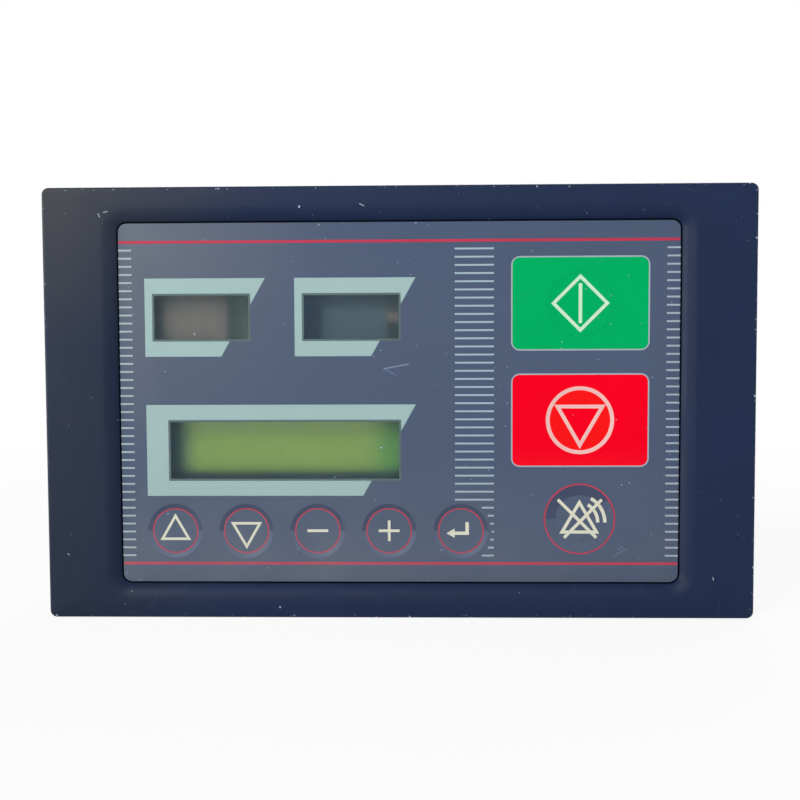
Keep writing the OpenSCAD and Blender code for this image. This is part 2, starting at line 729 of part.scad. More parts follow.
lcd_glass_t = 2;
module lcd_glass() color("#8aa650") upright()
    block(lcd_x, lcd_y, lcd_w - 2 * lcd_sheet - 0.2, lcd_h - 2 * lcd_sheet - 0.2,
        display_z - lcd_sheet - lcd_glass_t, display_z - lcd_sheet);

module lcd_backlight() color("#dcdcc8") upright()
    block(lcd_x, lcd_y, lcd_w - 2 * lcd_sheet - 0.2, lcd_h - 2 * lcd_sheet - 0.2,
        lcd_back, display_z - lcd_sheet - lcd_glass_t);

module lcd_board() color("#1f6b3c") upright() difference() {
    block(lcd_x, lcd_board_y, lcd_board_w, lcd_board_h, lcd_board_back, lcd_back);
    for (p = LCD_HOLES) post(p.x, p.y, 1.3, lcd_board_back - 1, lcd_back + 1);
}

// Header of sixteen pins between the display and its board
module lcd_header() color("#18181a") upright()
    block(lcd_x - 12, lcd_board_y + lcd_board_h / 2 - 2.5, 40.64, 2.5, display_front, lcd_board_back);

module lcd_spacers() color("#c8c6bc") upright() for (p = LCD_HOLES) difference() {
    post(p.x, p.y, 2.2, display_front, lcd_board_back);
    post(p.x, p.y, 1.3, display_front - 1, lcd_board_back + 1);
}

module lcd_screws() color("#c4c6c9") upright() for (p = LCD_HOLES) difference() {
    union() {
        post(p.x, p.y, 1.25, display_back, lcd_back);
        post(p.x, p.y, 2.2, lcd_back, lcd_back + 1.6);
    }
    block(p.x, p.y, 3.4, 0.6, lcd_back + 0.9, lcd_back + 2);
}

// Boards

// A board with holes for the spacers' threads
module board(low) {
    difference() {
        layer(low, low + board_t) round_rect(board_w, board_h, 1.5);
        for (p = SPACERS) post(p.x, p.y, screw_d / 2 + 0.1, low - 1, low + board_t + 1);
        children();
    }
}

module display_board() color("#22713f") upright() board(display_back)
    for (p = LCD_HOLES) post(p.x, p.y, 1.3, display_back - 1, display_front + 1);

module main_board() color("#22713f") upright() board(main_back);

// Hexagonal spacers with a threaded end, which stand between the plate and the display board
thread_l = board_t + 5;
module front_spacers() color("#c9a54e") upright() for (p = SPACERS) {
    hex_post(p.x, p.y, spacer_af, display_front, plate_back);
    post(p.x, p.y, screw_d / 2 - 0.05, display_front - thread_l, display_front + eps);
}

// Spacers between the two large boards, bored from both ends
module rear_spacers() color("#c9a54e") upright() for (p = SPACERS) difference() {
    hex_post(p.x, p.y, spacer_af, main_front, display_back);
    post(p.x, p.y, screw_d / 2, display_back - 6, display_back + 1);
    post(p.x, p.y, screw_d / 2, main_front - 1, main_front + 6);
}

// Pan-head screws behind the main board
screw_head_r = 2.8;
module board_screws() color("#c4c6c9") upright() for (p = SPACERS) difference() {
    union() {
        post(p.x, p.y, screw_d / 2 - 0.05, main_back, main_front + 5);
        post(p.x, p.y, screw_head_r, main_back - 2, main_back);
    }
    for (a = [0, 90]) translate([p.x, p.y, main_back - 2]) rotate([0, 0, a]) cube([3, 0.7, 2.2], center = true);
}

// Plug-in connector that joins the two boards
module board_connector() color("#19191b") upright() {
    x = -board_w / 2 + 43;
    block(x, 0, 50.8, 8.6, main_front, main_front + 8.5);
    block(x, 0, 48, 5, main_front + 8.5, display_back);
}

// Parts behind the main board

// Flat potted transformer with a stepped foot, at the board's left
transformer_w = 50;
transformer_x = -board_w / 2 + 3 + transformer_w / 2;
module transformer() color("#2c2f33") upright() {
    block(transformer_x, 0, transformer_w, 38, main_back - 4, main_back);
    block(transformer_x, 0, transformer_w - 2, 36, main_back - 18.3, main_back - 4);
}

// As many relays as fit between the transformer and the small capacitors
relay_pitch = 15;
small_can_x = board_w / 2 - 25;
module relays() color("#24425e") upright() {
    first = transformer_x + transformer_w / 2 + 9;
    for (x = [first:relay_pitch:small_can_x - 10]) {
        block(x, 0, 12.7, 29, main_back - 14.7, main_back);
        block(x, 0, 11.7, 28, main_back - 15.7, main_back - 14.7);
    }
}

// Upright capacitors, each with the groove that is rolled into its can
module can(x, y, r, h) {
    translate([x, y, main_back]) mirror([0, 0, 1]) rotate_extrude() polygon([[0, 0], [r, 0], [r, 1.6],
        [r - 0.5, 2.1], [r, 2.6], [r, h - 0.6], [r - 0.6, h], [0, h]]);
}

can_r = 6.3;
can_pitch = 16;
can_x = -board_w / 2 + 11;
can_y = board_h / 2 - 13;
module capacitors() color("#20285a") upright() {
    for (i = [0:2]) can(can_x + can_pitch * i, can_y, can_r, 17);
    for (i = [0:3]) can(small_can_x, 8 * (i - 1.5), 2.6, 11);
}

// Chips on the front of the main board
chip_x = board_w / 2 - 40;
module controller_chip() color("#202022") upright() {
    block(chip_x, 8, 25, 25, main_front, main_front + 4.5);
    layer(main_front + 4.5, main_front + 6) translate([chip_x, 8]) polygon([[-9.5, -9.5], [9.5, -9.5],
        [9.5, 9.5], [-8, 9.5], [-9.5, 8]]);
}

module memory_chip() color("#202022") upright() {
    y = -board_h / 2 + 19;
    block(chip_x, y, 36, 15, main_front + 1.2, main_front + 4.8);
    for (s = [-1, 1], i = [0:13])
        block(chip_x + 2.54 * (i - 6.5), y + s * 7.8, 0.5, 0.6, main_front, main_front + 3);
}

// Extruded heat sink with fins, and the regulator on it
sink_x = board_w / 2 - 11;
module heat_sink() color("#8f959b") upright() layer(main_back - 16, main_back) {
    translate([sink_x - 6, -14]) square([2, 28]);
    for (i = [0:6]) translate([sink_x - 6, -14 + i * 4.45]) square([12, 1.3]);
}

module regulator() color("#1b1b1d") upright() {
    block(sink_x - 6 - 0.65, 0, 1.3, 10, main_back - 15, main_back - 2);
    block(sink_x - 6 - 2.2, 0, 4.4, 10, main_back - 10.5, main_back - 2);
    for (i = [-1:1]) block(sink_x - 6 - 2.2, 2.54 * i, 0.6, 0.8, main_back - 2, main_back);
}

// Fuse, midway between the large capacitors and the head of the middle screw
fuse_r = 2.6;
fuse_x = (can_x + 2 * can_pitch + can_r - screw_head_r) / 2;
fuse_y = can_y;
fuse_z = main_back - 5.5;
module fuse_holder() color("#b9995a") upright() for (s = [-1, 1]) difference() {
    block(fuse_x, fuse_y + s * 8.4, 7.6, 4.6, main_back - 8, main_back);
    translate([fuse_x, fuse_y, fuse_z]) rotate([90, 0, 0]) cylinder(r = fuse_r + 0.02, h = 40, center = true);
    block(fuse_x, fuse_y, 3.6, 40, main_back - 9, fuse_z);
}

module fuse() color("#d8dadc") upright() translate([fuse_x, fuse_y, fuse_z]) rotate([90, 0, 0]) {
    cylinder(r = fuse_r - 0.3, h = 10, center = true);
    for (s = [-1, 1]) translate([0, 0, s * 7.5]) cylinder(r = fuse_r, h = 5, center = true);
}

// Terminals

function strip_w(strip) = strip[2] * pole_pitch;
header_wall = 1;
plug_fit = 0.15;
plug_back = -cover_z - plug_out;
header_back = main_back - header_h;

// Open shrouds on the board, with one pin for each pole
module terminal_headers() color("#2f7a4c") upright() for (strip = POLES) {
    difference() {
        block(strip[0], strip[1], strip_w(strip) + 2 * header_wall, header_w, header_back, main_back);
        block(strip[0], strip[1], strip_w(strip), header_w - 2 * header_wall, header_back - 1, main_back - 1.5);
    }
    for (i = [0:strip[2] - 1])
        block(strip[0] + pole_pitch * (i - (strip[2] - 1) / 2), strip[1], 1, 1, main_back - 7, main_back - 1.5 + eps);
}

// Plugs with a clamp for each wire: a square way in and a screw beside it
screw_well_r = 1.9;
module terminal_plugs() color("#3a8f5a") upright() for (strip = POLES) difference() {
    union() {
        block(strip[0], strip[1], strip_w(strip) - 2 * plug_fit, header_w - 2 * header_wall - 2 * plug_fit,
            header_back - plug_fit, main_back - 2);
        block(strip[0], strip[1], strip_w(strip) - 2 * plug_fit, plug_w, plug_back, header_back - plug_fit);
    }
    for (i = [0:strip[2] - 1]) translate([strip[0] + pole_pitch * (i - (strip[2] - 1) / 2), strip[1], 0]) {
        block(0, 0, 1.4, 1.4, main_back - 8, main_back);
        block(0, -sign(strip[1]) * 3, 3.2, 3.4, plug_back - 1, plug_back + 9);
        post(0, sign(strip[1]) * 3, screw_well_r, plug_back - 1, plug_back + 3.5);
        if (i > 0) block(-pole_pitch / 2, sign(strip[1]) * plug_w / 2, 0.6, 1, plug_back - 1, header_back + 1);
    }
}

module terminal_screws() color("#c9cbce") upright() for (strip = POLES, i = [0:strip[2] - 1])
    translate([strip[0] + pole_pitch * (i - (strip[2] - 1) / 2), strip[1] + sign(strip[1]) * 3, plug_back + 1.6])
        difference() {
            cylinder(r = screw_well_r - 0.1, h = 1.9, $fn = 24);
            cube([5, 0.6, 1.4], center = true);
        }

// Cover

insert_r = 2.2;

// Sheet-metal box with its bends, slots for the plugs and vents above and below
module rear_cover() color("#9aa0a4") upright() {
    steps = 4;
    bend = [for (i = [0:steps]) let (a = 90 * i / steps)
        [-cover_r + cover_r * cos(a), -cover_z + cover_r - cover_r * sin(a)]];
    inner_r = cover_r - cover_t;
    bend_in = [for (i = [0:steps]) let (a = 90 - 90 * i / steps)
        [-cover_r + inner_r * cos(a), -cover_z + cover_r - inner_r * sin(a)]];
    difference() {
        union() {
            sweep_round(cover_w, cover_h, cover_r)
                polygon(concat([[-cover_t, -cover_front], [0, -cover_front]], bend, bend_in));
            block(0, 0, cover_w - 2 * cover_r, cover_h - 2 * cover_r, -cover_z, -cover_z + cover_t);
        }
        for (strip = POLES)
            block(strip[0], strip[1], strip_w(strip) + 1.4, plug_w + 1.4, -cover_z - 1, -cover_z + 3);
        for (i = [0:vent_count - 1]) {
            block(vent_pitch * (i - (vent_count - 1) / 2), 0, vent_w, cover_h + 2,
                -cover_z + 8, -cover_z + 8 + vent_l);
            block(vent_pitch * (i - (vent_count - 1) / 2), 0, vent_w, vent_l, -cover_z - 1, -cover_z + 2);
        }
        for (s = [-1, 1], t = [-1, 1])
            translate([s * cover_w / 2, t * cover_screw_y, -collar_h / 2 - 0.3])
                rotate([0, 90, 0]) cylinder(r = screw_d / 2 + 0.15, h = 4, center = true);
    }
}

// Screws through the cover's sides into brass inserts in the collar
cover_insert_l = 4.5;
module cover_screws() color("#c4c6c9") upright() for (s = [-1, 1], t = [-1, 1])
    translate([s * cover_w / 2, t * cover_screw_y, -collar_h / 2 - 0.3]) rotate([0, -90 * s, 0])
        difference() {
            union() {
                cylinder(r = screw_d / 2 - 0.05, h = cover_t + cover_fit + cover_insert_l);
                translate([0, 0, -1.8]) cylinder(r = screw_head_r, h = 1.8);
            }
            for (a = [0, 90]) rotate([0, 0, a]) translate([0, 0, -1.8]) cube([3, 0.7, 2], center = true);
        }

module cover_inserts() color("#c9a54e") upright() for (s = [-1, 1], t = [-1, 1])
    translate([s * collar_w / 2, t * cover_screw_y, -collar_h / 2 - 0.3]) rotate([0, -90 * s, 0]) difference() {
        cylinder(r = insert_r, h = cover_insert_l + 1);
        translate([0, 0, -1]) cylinder(r = screw_d / 2, h = cover_insert_l + 3);
    }

bezel_frame();
panel_studs();
panel_seal();
front_film();
print_lines();
print_pale();
start_field();
stop_field();
keypad_spacer();
front_plate();
plate_studs();
plate_nuts();
window_left();
window_right();
window_characters();
key_up();
key_down();
key_minus();
key_plus();
key_enter();
key_start();
key_stop();
key_reset();
key_switches();
display_board();
digits_left();
digits_right();
digit_sockets();
signal_lamp();
lcd_bezel();
lcd_glass();
lcd_backlight();
lcd_board();
lcd_header();
lcd_spacers();
lcd_screws();
front_spacers();
rear_spacers();
board_screws();
board_connector();
main_board();
transformer();
relays();
capacitors();
controller_chip();
memory_chip();
heat_sink();
regulator();
fuse_holder();
fuse();
terminal_headers();
terminal_plugs();
terminal_screws();
rear_cover();
cover_screws();
cover_inserts();
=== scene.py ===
# %% [markdown]
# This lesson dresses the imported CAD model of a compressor's control module. The CAD gives every
# solid its true size and place. Blender gives it what CAD leaves out: the satin film with its
# pressed keys and print, the milky windows, the grain of the moulded frame, threads and wear.
# Everything is in metres, in the frame of the CAD: the front faces -Y and +Z is up.

import json
from math import atan2, cos, hypot, pi, radians, sin

import bpy
from mathutils import Matrix, Vector

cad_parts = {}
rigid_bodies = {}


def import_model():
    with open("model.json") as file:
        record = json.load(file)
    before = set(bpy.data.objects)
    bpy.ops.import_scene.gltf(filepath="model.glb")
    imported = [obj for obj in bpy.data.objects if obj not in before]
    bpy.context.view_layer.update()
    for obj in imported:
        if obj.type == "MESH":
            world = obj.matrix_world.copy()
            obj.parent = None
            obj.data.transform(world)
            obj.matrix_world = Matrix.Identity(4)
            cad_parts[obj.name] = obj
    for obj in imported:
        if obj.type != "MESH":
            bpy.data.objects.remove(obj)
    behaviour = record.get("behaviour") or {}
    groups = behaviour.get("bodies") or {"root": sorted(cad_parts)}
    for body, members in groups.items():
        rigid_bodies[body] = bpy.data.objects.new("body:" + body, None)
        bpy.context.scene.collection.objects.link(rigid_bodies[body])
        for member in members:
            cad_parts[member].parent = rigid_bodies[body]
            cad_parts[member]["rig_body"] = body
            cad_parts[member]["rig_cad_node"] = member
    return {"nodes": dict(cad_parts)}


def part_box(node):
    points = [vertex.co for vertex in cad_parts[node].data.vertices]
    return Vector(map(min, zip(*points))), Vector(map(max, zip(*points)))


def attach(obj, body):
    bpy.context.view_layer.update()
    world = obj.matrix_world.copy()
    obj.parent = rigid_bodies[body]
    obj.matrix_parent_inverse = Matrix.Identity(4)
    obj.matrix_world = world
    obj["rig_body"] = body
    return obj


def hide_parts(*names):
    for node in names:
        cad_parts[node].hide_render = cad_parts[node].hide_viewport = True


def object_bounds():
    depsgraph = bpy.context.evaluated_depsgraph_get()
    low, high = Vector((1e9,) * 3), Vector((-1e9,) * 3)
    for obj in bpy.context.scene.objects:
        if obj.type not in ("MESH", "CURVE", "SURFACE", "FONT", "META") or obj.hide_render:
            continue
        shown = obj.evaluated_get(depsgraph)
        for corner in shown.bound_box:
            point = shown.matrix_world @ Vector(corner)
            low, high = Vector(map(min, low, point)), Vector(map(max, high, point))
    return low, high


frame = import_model()
cad_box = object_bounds()
nodes = frame["nodes"]
bpy.ops.object.select_all(action="DESELECT")
print("CAD nodes:", len(nodes), "box:", [tuple(round(v, 4) for v in corner) for corner in cad_box])

# %% [markdown]
# A panel like this is drawn from the front, with x to the right and y up, so the sizes below are
# written that way in millimetres. One function turns such a point into the frame's metres, and
# the layers' heights above the cabinet's panel are read from the CAD nodes themselves. The film
# is half a millimetre thick with its adhesive, and a layer of ink is a tenth of that.

# %% Front view in millimetres
MM = 0.001


def front(x, y, z):
    """A point of the front view in mm, z towards the viewer, as a point of the frame in metres."""
    return Vector((x * MM, -z * MM, y * MM))


def height(node, side):
    """Height in mm of a node's back (1) or front (0) above the cabinet's panel."""
    return -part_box(node)[side].y / MM


def middle(node):
    """Middle of a node in the front view, in mm."""
    low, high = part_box(node)
    return (low.x + high.x) / 2 / MM, (low.z + high.z) / 2 / MM


film_low, film_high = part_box("front_film")
FILM_W = (film_high.x - film_low.x) / MM
FILM_H = (film_high.z - film_low.z) / MM
FILM_Z = height("front_film", 0)
FILM_THICK = 0.5
INK_THICK = 0.05
FACE_Z = height("bezel_frame", 0)
print("film", round(FILM_W, 2), "x", round(FILM_H, 2), "mm, front at", round(FILM_Z, 2), "mm")

# %% [markdown]
# The camera repeats the photograph: a long phone lens about 340 mm in front of the face, turned
# by a few degrees. It could be aimed by hand in a viewport. Here the angles and distances come
# from fitting the corners of frame and film, so that they can be checked.

# %% Camera
FOCAL_PX = 1215
IMAGE_PX = 800
SENSOR = 36
DISTANCE = 341.4
ASIDE = (-0.56, -1.08)
TILT, PAN, ROLL = radians(3.47), radians(-1.64), radians(0.15)

lens = bpy.data.cameras.new("camera")
lens.sensor_width = SENSOR
lens.lens = FOCAL_PX / IMAGE_PX * SENSOR
camera = bpy.data.objects.new("camera", lens)
bpy.context.scene.collection.objects.link(camera)
turn = Matrix.Rotation(ROLL, 3, "Z") @ Matrix.Rotation(PAN, 3, "Y") @ Matrix.Rotation(TILT, 3, "X")
seen = turn.transposed() @ Vector((-ASIDE[0], -ASIDE[1], DISTANCE))
upright = Matrix.Rotation(pi / 2, 3, "X")
camera.matrix_world = Matrix.Translation(front(seen.x, seen.y, seen.z + FACE_Z)) @ (
    upright @ turn.transposed()).to_4x4()
bpy.context.scene.camera = camera
print("lens", round(lens.lens, 1), "mm, camera at", tuple(round(v, 3) for v in camera.location))

# %% [markdown]
# A node tree is easier to read when each node is one line. This one function adds a node, sets
# its options, and fills each input with either a value or a link. Colours are written as sRGB
# hex codes, and a second function turns them to the linear values that a shader takes.

# %% Node and colour helpers
def add(tree, kind, inputs=None, **options):
    """Adds a node. Inputs are values or the outputs of other nodes."""
    made = tree.nodes.new(kind)
    for name, value in options.items():
        setattr(made, name, value)
    for socket, value in (inputs or {}).items():
        if isinstance(value, bpy.types.NodeSocket):
            tree.links.new(value, made.inputs[socket])
        else:
            made.inputs[socket].default_value = value
    return made


def linear(code):
    """An sRGB hex colour as linear red, green and blue, with full alpha."""
    parts = [int(code[i:i + 2], 16) / 255 for i in (1, 3, 5)]
    return tuple(c / 12.92 if c <= 0.04045 else ((c + 0.055) / 1.055) ** 2.4 for c in parts) + (1.0,)


WHITE = linear("#FFFFFF")
BLACK = linear("#000000")
print("mid grey in linear light:", round(linear("#808080")[0], 3))

# %% [markdown]
# The photograph has soft light. Point lamps would draw hard shadows, so all lamps are wide areas.
# A large one stands at the upper left, which makes the left of the rounded lip dark and its right
# light. A weak one fills from the right, and one lights the back. A warm pale sheen lies over the
# left of the satin film, as from a window, so a tall warm lamp there is seen in the gloss alone.
# Another one stands far to the left and draws the thin light line on the right lip.

# %% Lamps
def soft_lamp(name, place, size, watts, colour=(1, 1, 1)):
    """A rectangular lamp of that width and height, which faces the middle of the object."""
    data = bpy.data.lights.new(name, "AREA")
    data.shape = "RECTANGLE"
    data.size, data.size_y = size
    data.energy = watts
    data.color = colour
    lamp = bpy.data.objects.new(name, data)
    lamp.location = place
    lamp.rotation_euler = (-Vector(place)).to_track_quat("-Z", "Y").to_euler()
    bpy.context.scene.collection.objects.link(lamp)
    return lamp


WARM = (1.0, 0.86, 0.55)
soft_lamp("key_lamp", place=(-0.48, -0.85, 0.66), size=(0.45, 0.45), watts=8.2)
soft_lamp("fill_lamp", place=(0.80, -0.80, 0.15), size=(0.60, 0.60), watts=1.6)
soft_lamp("back_lamp", place=(0.35, 0.90, 0.70), size=(0.90, 0.90), watts=5.5)
gloss_lamps = [
    soft_lamp("sheen_lamp", place=(-0.44, -1.0, -0.08), size=(0.60, 1.1), watts=8.5, colour=WARM),
    soft_lamp("side_lamp", place=(-0.90, -0.30, 0.08), size=(0.30, 0.30), watts=7.0),
]
for lamp in gloss_lamps:
    lamp.visible_diffuse = False
    lamp.visible_transmission = False

# %% [markdown]
# The ground of the photograph is white. The world is white to the camera, to reflections and
# through glass, and dimmer as a source of light, so the white adds no light to the object.

# %% World
AMBIENT = 0.28


def seen_directly(tree):
    """1 for rays of the camera, reflections and glass, and 0 for rays that light the object."""
    rays = add(tree, "ShaderNodeLightPath")
    mirror = add(tree, "ShaderNodeMath",
        {0: rays.outputs["Is Camera Ray"], 1: rays.outputs["Is Glossy Ray"]}, operation="ADD")
    through = add(tree, "ShaderNodeMath",
        {0: mirror.outputs[0], 1: rays.outputs["Is Transmission Ray"]}, operation="ADD", use_clamp=True)
    return through.outputs[0]


world = bpy.data.worlds.new("studio")
bpy.context.scene.world = world
world.use_nodes = True
world.node_tree.nodes.clear()
level = add(world.node_tree, "ShaderNodeMapRange",
    {"Value": seen_directly(world.node_tree), "To Min": AMBIENT, "To Max": 1.0})
sky = add(world.node_tree, "ShaderNodeBackground", {"Color": WHITE, "Strength": level.outputs[0]})
add(world.node_tree, "ShaderNodeOutputWorld", {"Surface": sky.outputs[0]})
bpy.context.scene.view_settings.view_transform = "Standard"
print("world:", world.name, "lights with a strength of", AMBIENT)

# %% [markdown]
# The floor is a sheet of white paper just under the object. More lamps would make it white, and
# wash out the object's colours with it. So it glows white where it is seen, and near the object a
# share of it stays plain paper, which takes the object's soft shadow.

# %% Floor
FLOOR_SIZE = 4
FLOOR_GAP = 0.0002
SHADOW_IN, SHADOW_OUT = 0.20, 0.60
GLOW_IN = 0.88


def glowing_paper(tree):
    """White paper whose own glow grows with the distance from the object."""
    place = add(tree, "ShaderNodeTexCoord").outputs["Object"]
    far = add(tree, "ShaderNodeVectorMath", {0: place}, operation="LENGTH").outputs["Value"]
    white = add(tree, "ShaderNodeMapRange",
        {"Value": far, "From Min": SHADOW_IN, "From Max": SHADOW_OUT, "To Min": GLOW_IN, "To Max": 1.0})
    share = add(tree, "ShaderNodeMath", {0: seen_directly(tree), 1: white.outputs[0]},
        operation="MULTIPLY")
    sheet = add(tree, "ShaderNodeBsdfDiffuse", {"Color": WHITE})
    glow = add(tree, "ShaderNodeEmission", {"Color": WHITE, "Strength": 1.0})
    both = add(tree, "ShaderNodeMixShader",
        {0: share.outputs[0], 1: sheet.outputs[0], 2: glow.outputs[0]})
    add(tree, "ShaderNodeOutputMaterial", {"Surface": both.outputs[0]})


bpy.ops.mesh.primitive_plane_add(size=FLOOR_SIZE, location=(0, 0, cad_box[0].z - FLOOR_GAP))
floor = bpy.context.object
floor.name = "floor"
paper = bpy.data.materials.new("white_paper_floor")
paper.use_nodes = True
paper.node_tree.nodes.clear()
glowing_paper(paper.node_tree)
floor.data.materials.append(paper)
print("floor at", round(floor.location.z, 4), "m")

# %% [markdown]
# Every surface here has three things in common: its colour drifts a little over some millimetres,
# its gloss is uneven, and it has a fine relief. Pictures of real surfaces could give that too, but
# noise needs no file, never repeats and keeps its real size on every face. One function makes a
# material from it, with each size in millimetres, and special finishes add their own patterns.

# %% A finish with colour drift, uneven gloss and relief
NOISE_LOW, NOISE_HIGH = 0.3, 0.7


def per_metre(size):
    """Scale of a texture whose features are about that many mm across."""
    return 1 / (size * MM)


def finish(name, light, dark, patch, gloss, relief, metallic=0.0, ior=1.5, specular=0.5):
    """light, dark: the two tones that the colour drifts between; patch: size of that drift in mm;
    gloss: lowest and highest roughness; relief: width and depth of the grain in mm."""
    material = bpy.data.materials.new(name)
    material.use_nodes = True
    tree = material.node_tree
    shader = tree.nodes["Principled BSDF"]
    place = add(tree, "ShaderNodeTexCoord").outputs["Object"]
    drift = add(tree, "ShaderNodeTexNoise", {"Vector": place, "Scale": per_metre(patch), "Detail": 4.0})
    colour = add(tree, "ShaderNodeMix",
        {"Factor": drift.outputs[0], 6: linear(dark), 7: linear(light)}, data_type="RGBA")
    colour.name = "colour"
    tree.links.new(colour.outputs[2], shader.inputs["Base Color"])
    uneven = add(tree, "ShaderNodeMapRange", {"Value": drift.outputs[0], "From Min": NOISE_LOW,
        "From Max": NOISE_HIGH, "To Min": gloss[0], "To Max": gloss[1]})
    uneven.name = "gloss"
    tree.links.new(uneven.outputs[0], shader.inputs["Roughness"])
    grain = add(tree, "ShaderNodeTexNoise",
        {"Vector": place, "Scale": per_metre(relief[0]), "Detail": 2.0})
    bump = add(tree, "ShaderNodeBump",
        {"Height": grain.outputs[0], "Distance": relief[1] * MM, "Strength": 1.0})
    bump.name = "relief"
    tree.links.new(bump.outputs[0], shader.inputs["Normal"])
    shader.inputs["Metallic"].default_value = metallic
    if not metallic:
        shader.inputs["IOR"].default_value = ior
        shader.inputs["Specular IOR Level"].default_value = specular
    return material


print("a drift of 16 mm is a scale of", per_metre(16), "per metre")

# %% [markdown]
# More colours are laid over that base, each by a share from 0 to 1. Shares are multiplied, which
# keeps a colour to one region. Where a surface gets greyer or darker towards one side, its share
# grows along an axis.

# %% Colours laid over a finish
def colour_over(material, factor, code):
    """Lays one more colour over what reaches the shader's base colour, where factor is 1."""
    tree = material.node_tree
    shader = tree.nodes["Principled BSDF"]
    below = shader.inputs["Base Color"].links[0].from_socket
    over = add(tree, "ShaderNodeMix", {"Factor": factor, 6: below, 7: linear(code)}, data_type="RGBA")
    tree.links.new(over.outputs[2], shader.inputs["Base Color"])


def product(tree, *shares):
    """All the shares multiplied: 1 only where every one of them is 1."""
    total = shares[0]
    for share in shares[1:]:
        total = add(tree, "ShaderNodeMath", {0: total, 1: share}, operation="MULTIPLY").outputs[0]
    return total


def slope(tree, axis, start, end):
    """0 up to one place along an axis and 1 from the other on, in mm."""
    place = add(tree, "ShaderNodeTexCoord").outputs["Object"]
    ways = add(tree, "ShaderNodeSeparateXYZ", {0: place}).outputs
    return add(tree, "ShaderNodeMapRange",
        {"Value": ways[axis], "From Min": start * MM, "From Max": end * MM}).outputs[0]


def fade(material, axis, start, end, share, code, where=1.0):
    """Lays a colour over one side of a material, from none at one place to that share at the other."""
    tree = material.node_tree
    colour_over(material, product(tree, slope(tree, axis, start, end), share, where), code)


# %% [markdown]
# Used panels carry dust and small chips. They could be painted by hand, or scattered as tiny
# meshes. A cell pattern, the Voronoi texture, covers every face at one density without either:
# each speck is a dot in the middle of some cell, and a fine noise makes it ragged, because no
# real chip is round.

# %% Dust and chips
RAGGED = 0.7
RAGGED_LOW, RAGGED_HIGH = 0.5, 1.7
SMALLEST_DOT = 0.4


def cells_of(tree, cell, seed, flat=False):
    """A cell pattern with cells of that size in mm: the way from a cell's middle, and its colour."""
    place = add(tree, "ShaderNodeTexCoord").outputs["Object"]
    plan = add(tree, "ShaderNodeVectorMath", {0: place, 1: (1, 0, 1) if flat else (1, 1, 1)},
        operation="MULTIPLY")
    shifted = add(tree, "ShaderNodeVectorMath", {0: plan.outputs[0], 1: (seed, seed, seed)},
        operation="ADD")
    cells = add(tree, "ShaderNodeTexVoronoi", {"Vector": shifted.outputs[0], "Scale": per_metre(cell)})
    way = add(tree, "ShaderNodeVectorMath", {0: shifted.outputs[0], 1: cells.outputs["Position"]},
        operation="SUBTRACT")
    chance = add(tree, "ShaderNodeSeparateColor", {0: cells.outputs["Color"]})
    return way.outputs[0], chance.outputs


def dots(tree, cell, radius, share, seed):
    """1 on dots of up to that radius in mm, in that share of cells of that size in mm."""
    way, chance = cells_of(tree, cell, seed)
    away = add(tree, "ShaderNodeVectorMath", {0: way}, operation="LENGTH").outputs["Value"]
    place = add(tree, "ShaderNodeTexCoord").outputs["Object"]
    noise = add(tree, "ShaderNodeTexNoise", {"Vector": place, "Scale": per_metre(RAGGED)})
    stretch = add(tree, "ShaderNodeMapRange", {"Value": noise.outputs[0], "From Min": NOISE_LOW,
        "From Max": NOISE_HIGH, "To Min": RAGGED_LOW, "To Max": RAGGED_HIGH})
    size = add(tree, "ShaderNodeMapRange",
        {"Value": chance[1], "To Min": SMALLEST_DOT * radius * MM, "To Max": radius * MM})
    dot = add(tree, "ShaderNodeMath",
        {0: product(tree, away, stretch.outputs[0]), 1: size.outputs[0]}, operation="LESS_THAN")
    chosen = add(tree, "ShaderNodeMath", {0: chance[0], 1: share}, operation="LESS_THAN")
    return product(tree, dot.outputs[0], chosen.outputs[0])


def specks(material, cell, radius, share, code, seed=0.0, where=1.0):
    """Such dots in one colour. The seed gives each layer of them its own places."""
    tree = material.node_tree
    colour_over(material, product(tree, dots(tree, cell, radius, share, seed), where), code)


# %% [markdown]
# Wiping leaves hairlines on the faces that look forward. A hairline is a narrow straight line
# through the middle of some cells, turned by the cell's own colour. A scratch that stands out in
# the photograph needs its own place instead, so it is drawn by the distance to a line between two
# points. Both are soft at their edges.

# %% Hairlines and single scratches
LOOKS_FORWARD = -0.8


def hairlines(material, cell, width, share, code, strength):
    """Straight scratches of that width in mm on the front, each in its own direction."""
    tree = material.node_tree
    way, chance = cells_of(tree, cell, 0.0, flat=True)
    angle = add(tree, "ShaderNodeMath", {0: chance[1], 1: pi}, operation="MULTIPLY").outputs[0]
    side = add(tree, "ShaderNodeMath", {0: angle}, operation="COSINE").outputs[0]
    rise = add(tree, "ShaderNodeMath", {0: angle}, operation="SINE").outputs[0]
    across = add(tree, "ShaderNodeCombineXYZ", {"X": side, "Z": rise}).outputs[0]
    off = add(tree, "ShaderNodeVectorMath", {0: way, 1: across}, operation="DOT_PRODUCT")
    beside = add(tree, "ShaderNodeMath", {0: off.outputs["Value"]}, operation="ABSOLUTE").outputs[0]
    line = add(tree, "ShaderNodeMapRange", {"Value": beside, "From Min": 0.2 * width * MM,
        "From Max": 0.8 * width * MM, "To Min": strength, "To Max": 0.0}).outputs[0]
    chosen = add(tree, "ShaderNodeMath", {0: chance[0], 1: share}, operation="LESS_THAN").outputs[0]
    facing = add(tree, "ShaderNodeSeparateXYZ", {0: add(tree, "ShaderNodeTexCoord").outputs["Normal"]})
    ahead = add(tree, "ShaderNodeMath", {0: facing.outputs[1], 1: LOOKS_FORWARD},
        operation="LESS_THAN").outputs[0]
    colour_over(material, product(tree, line, chosen, ahead), code)


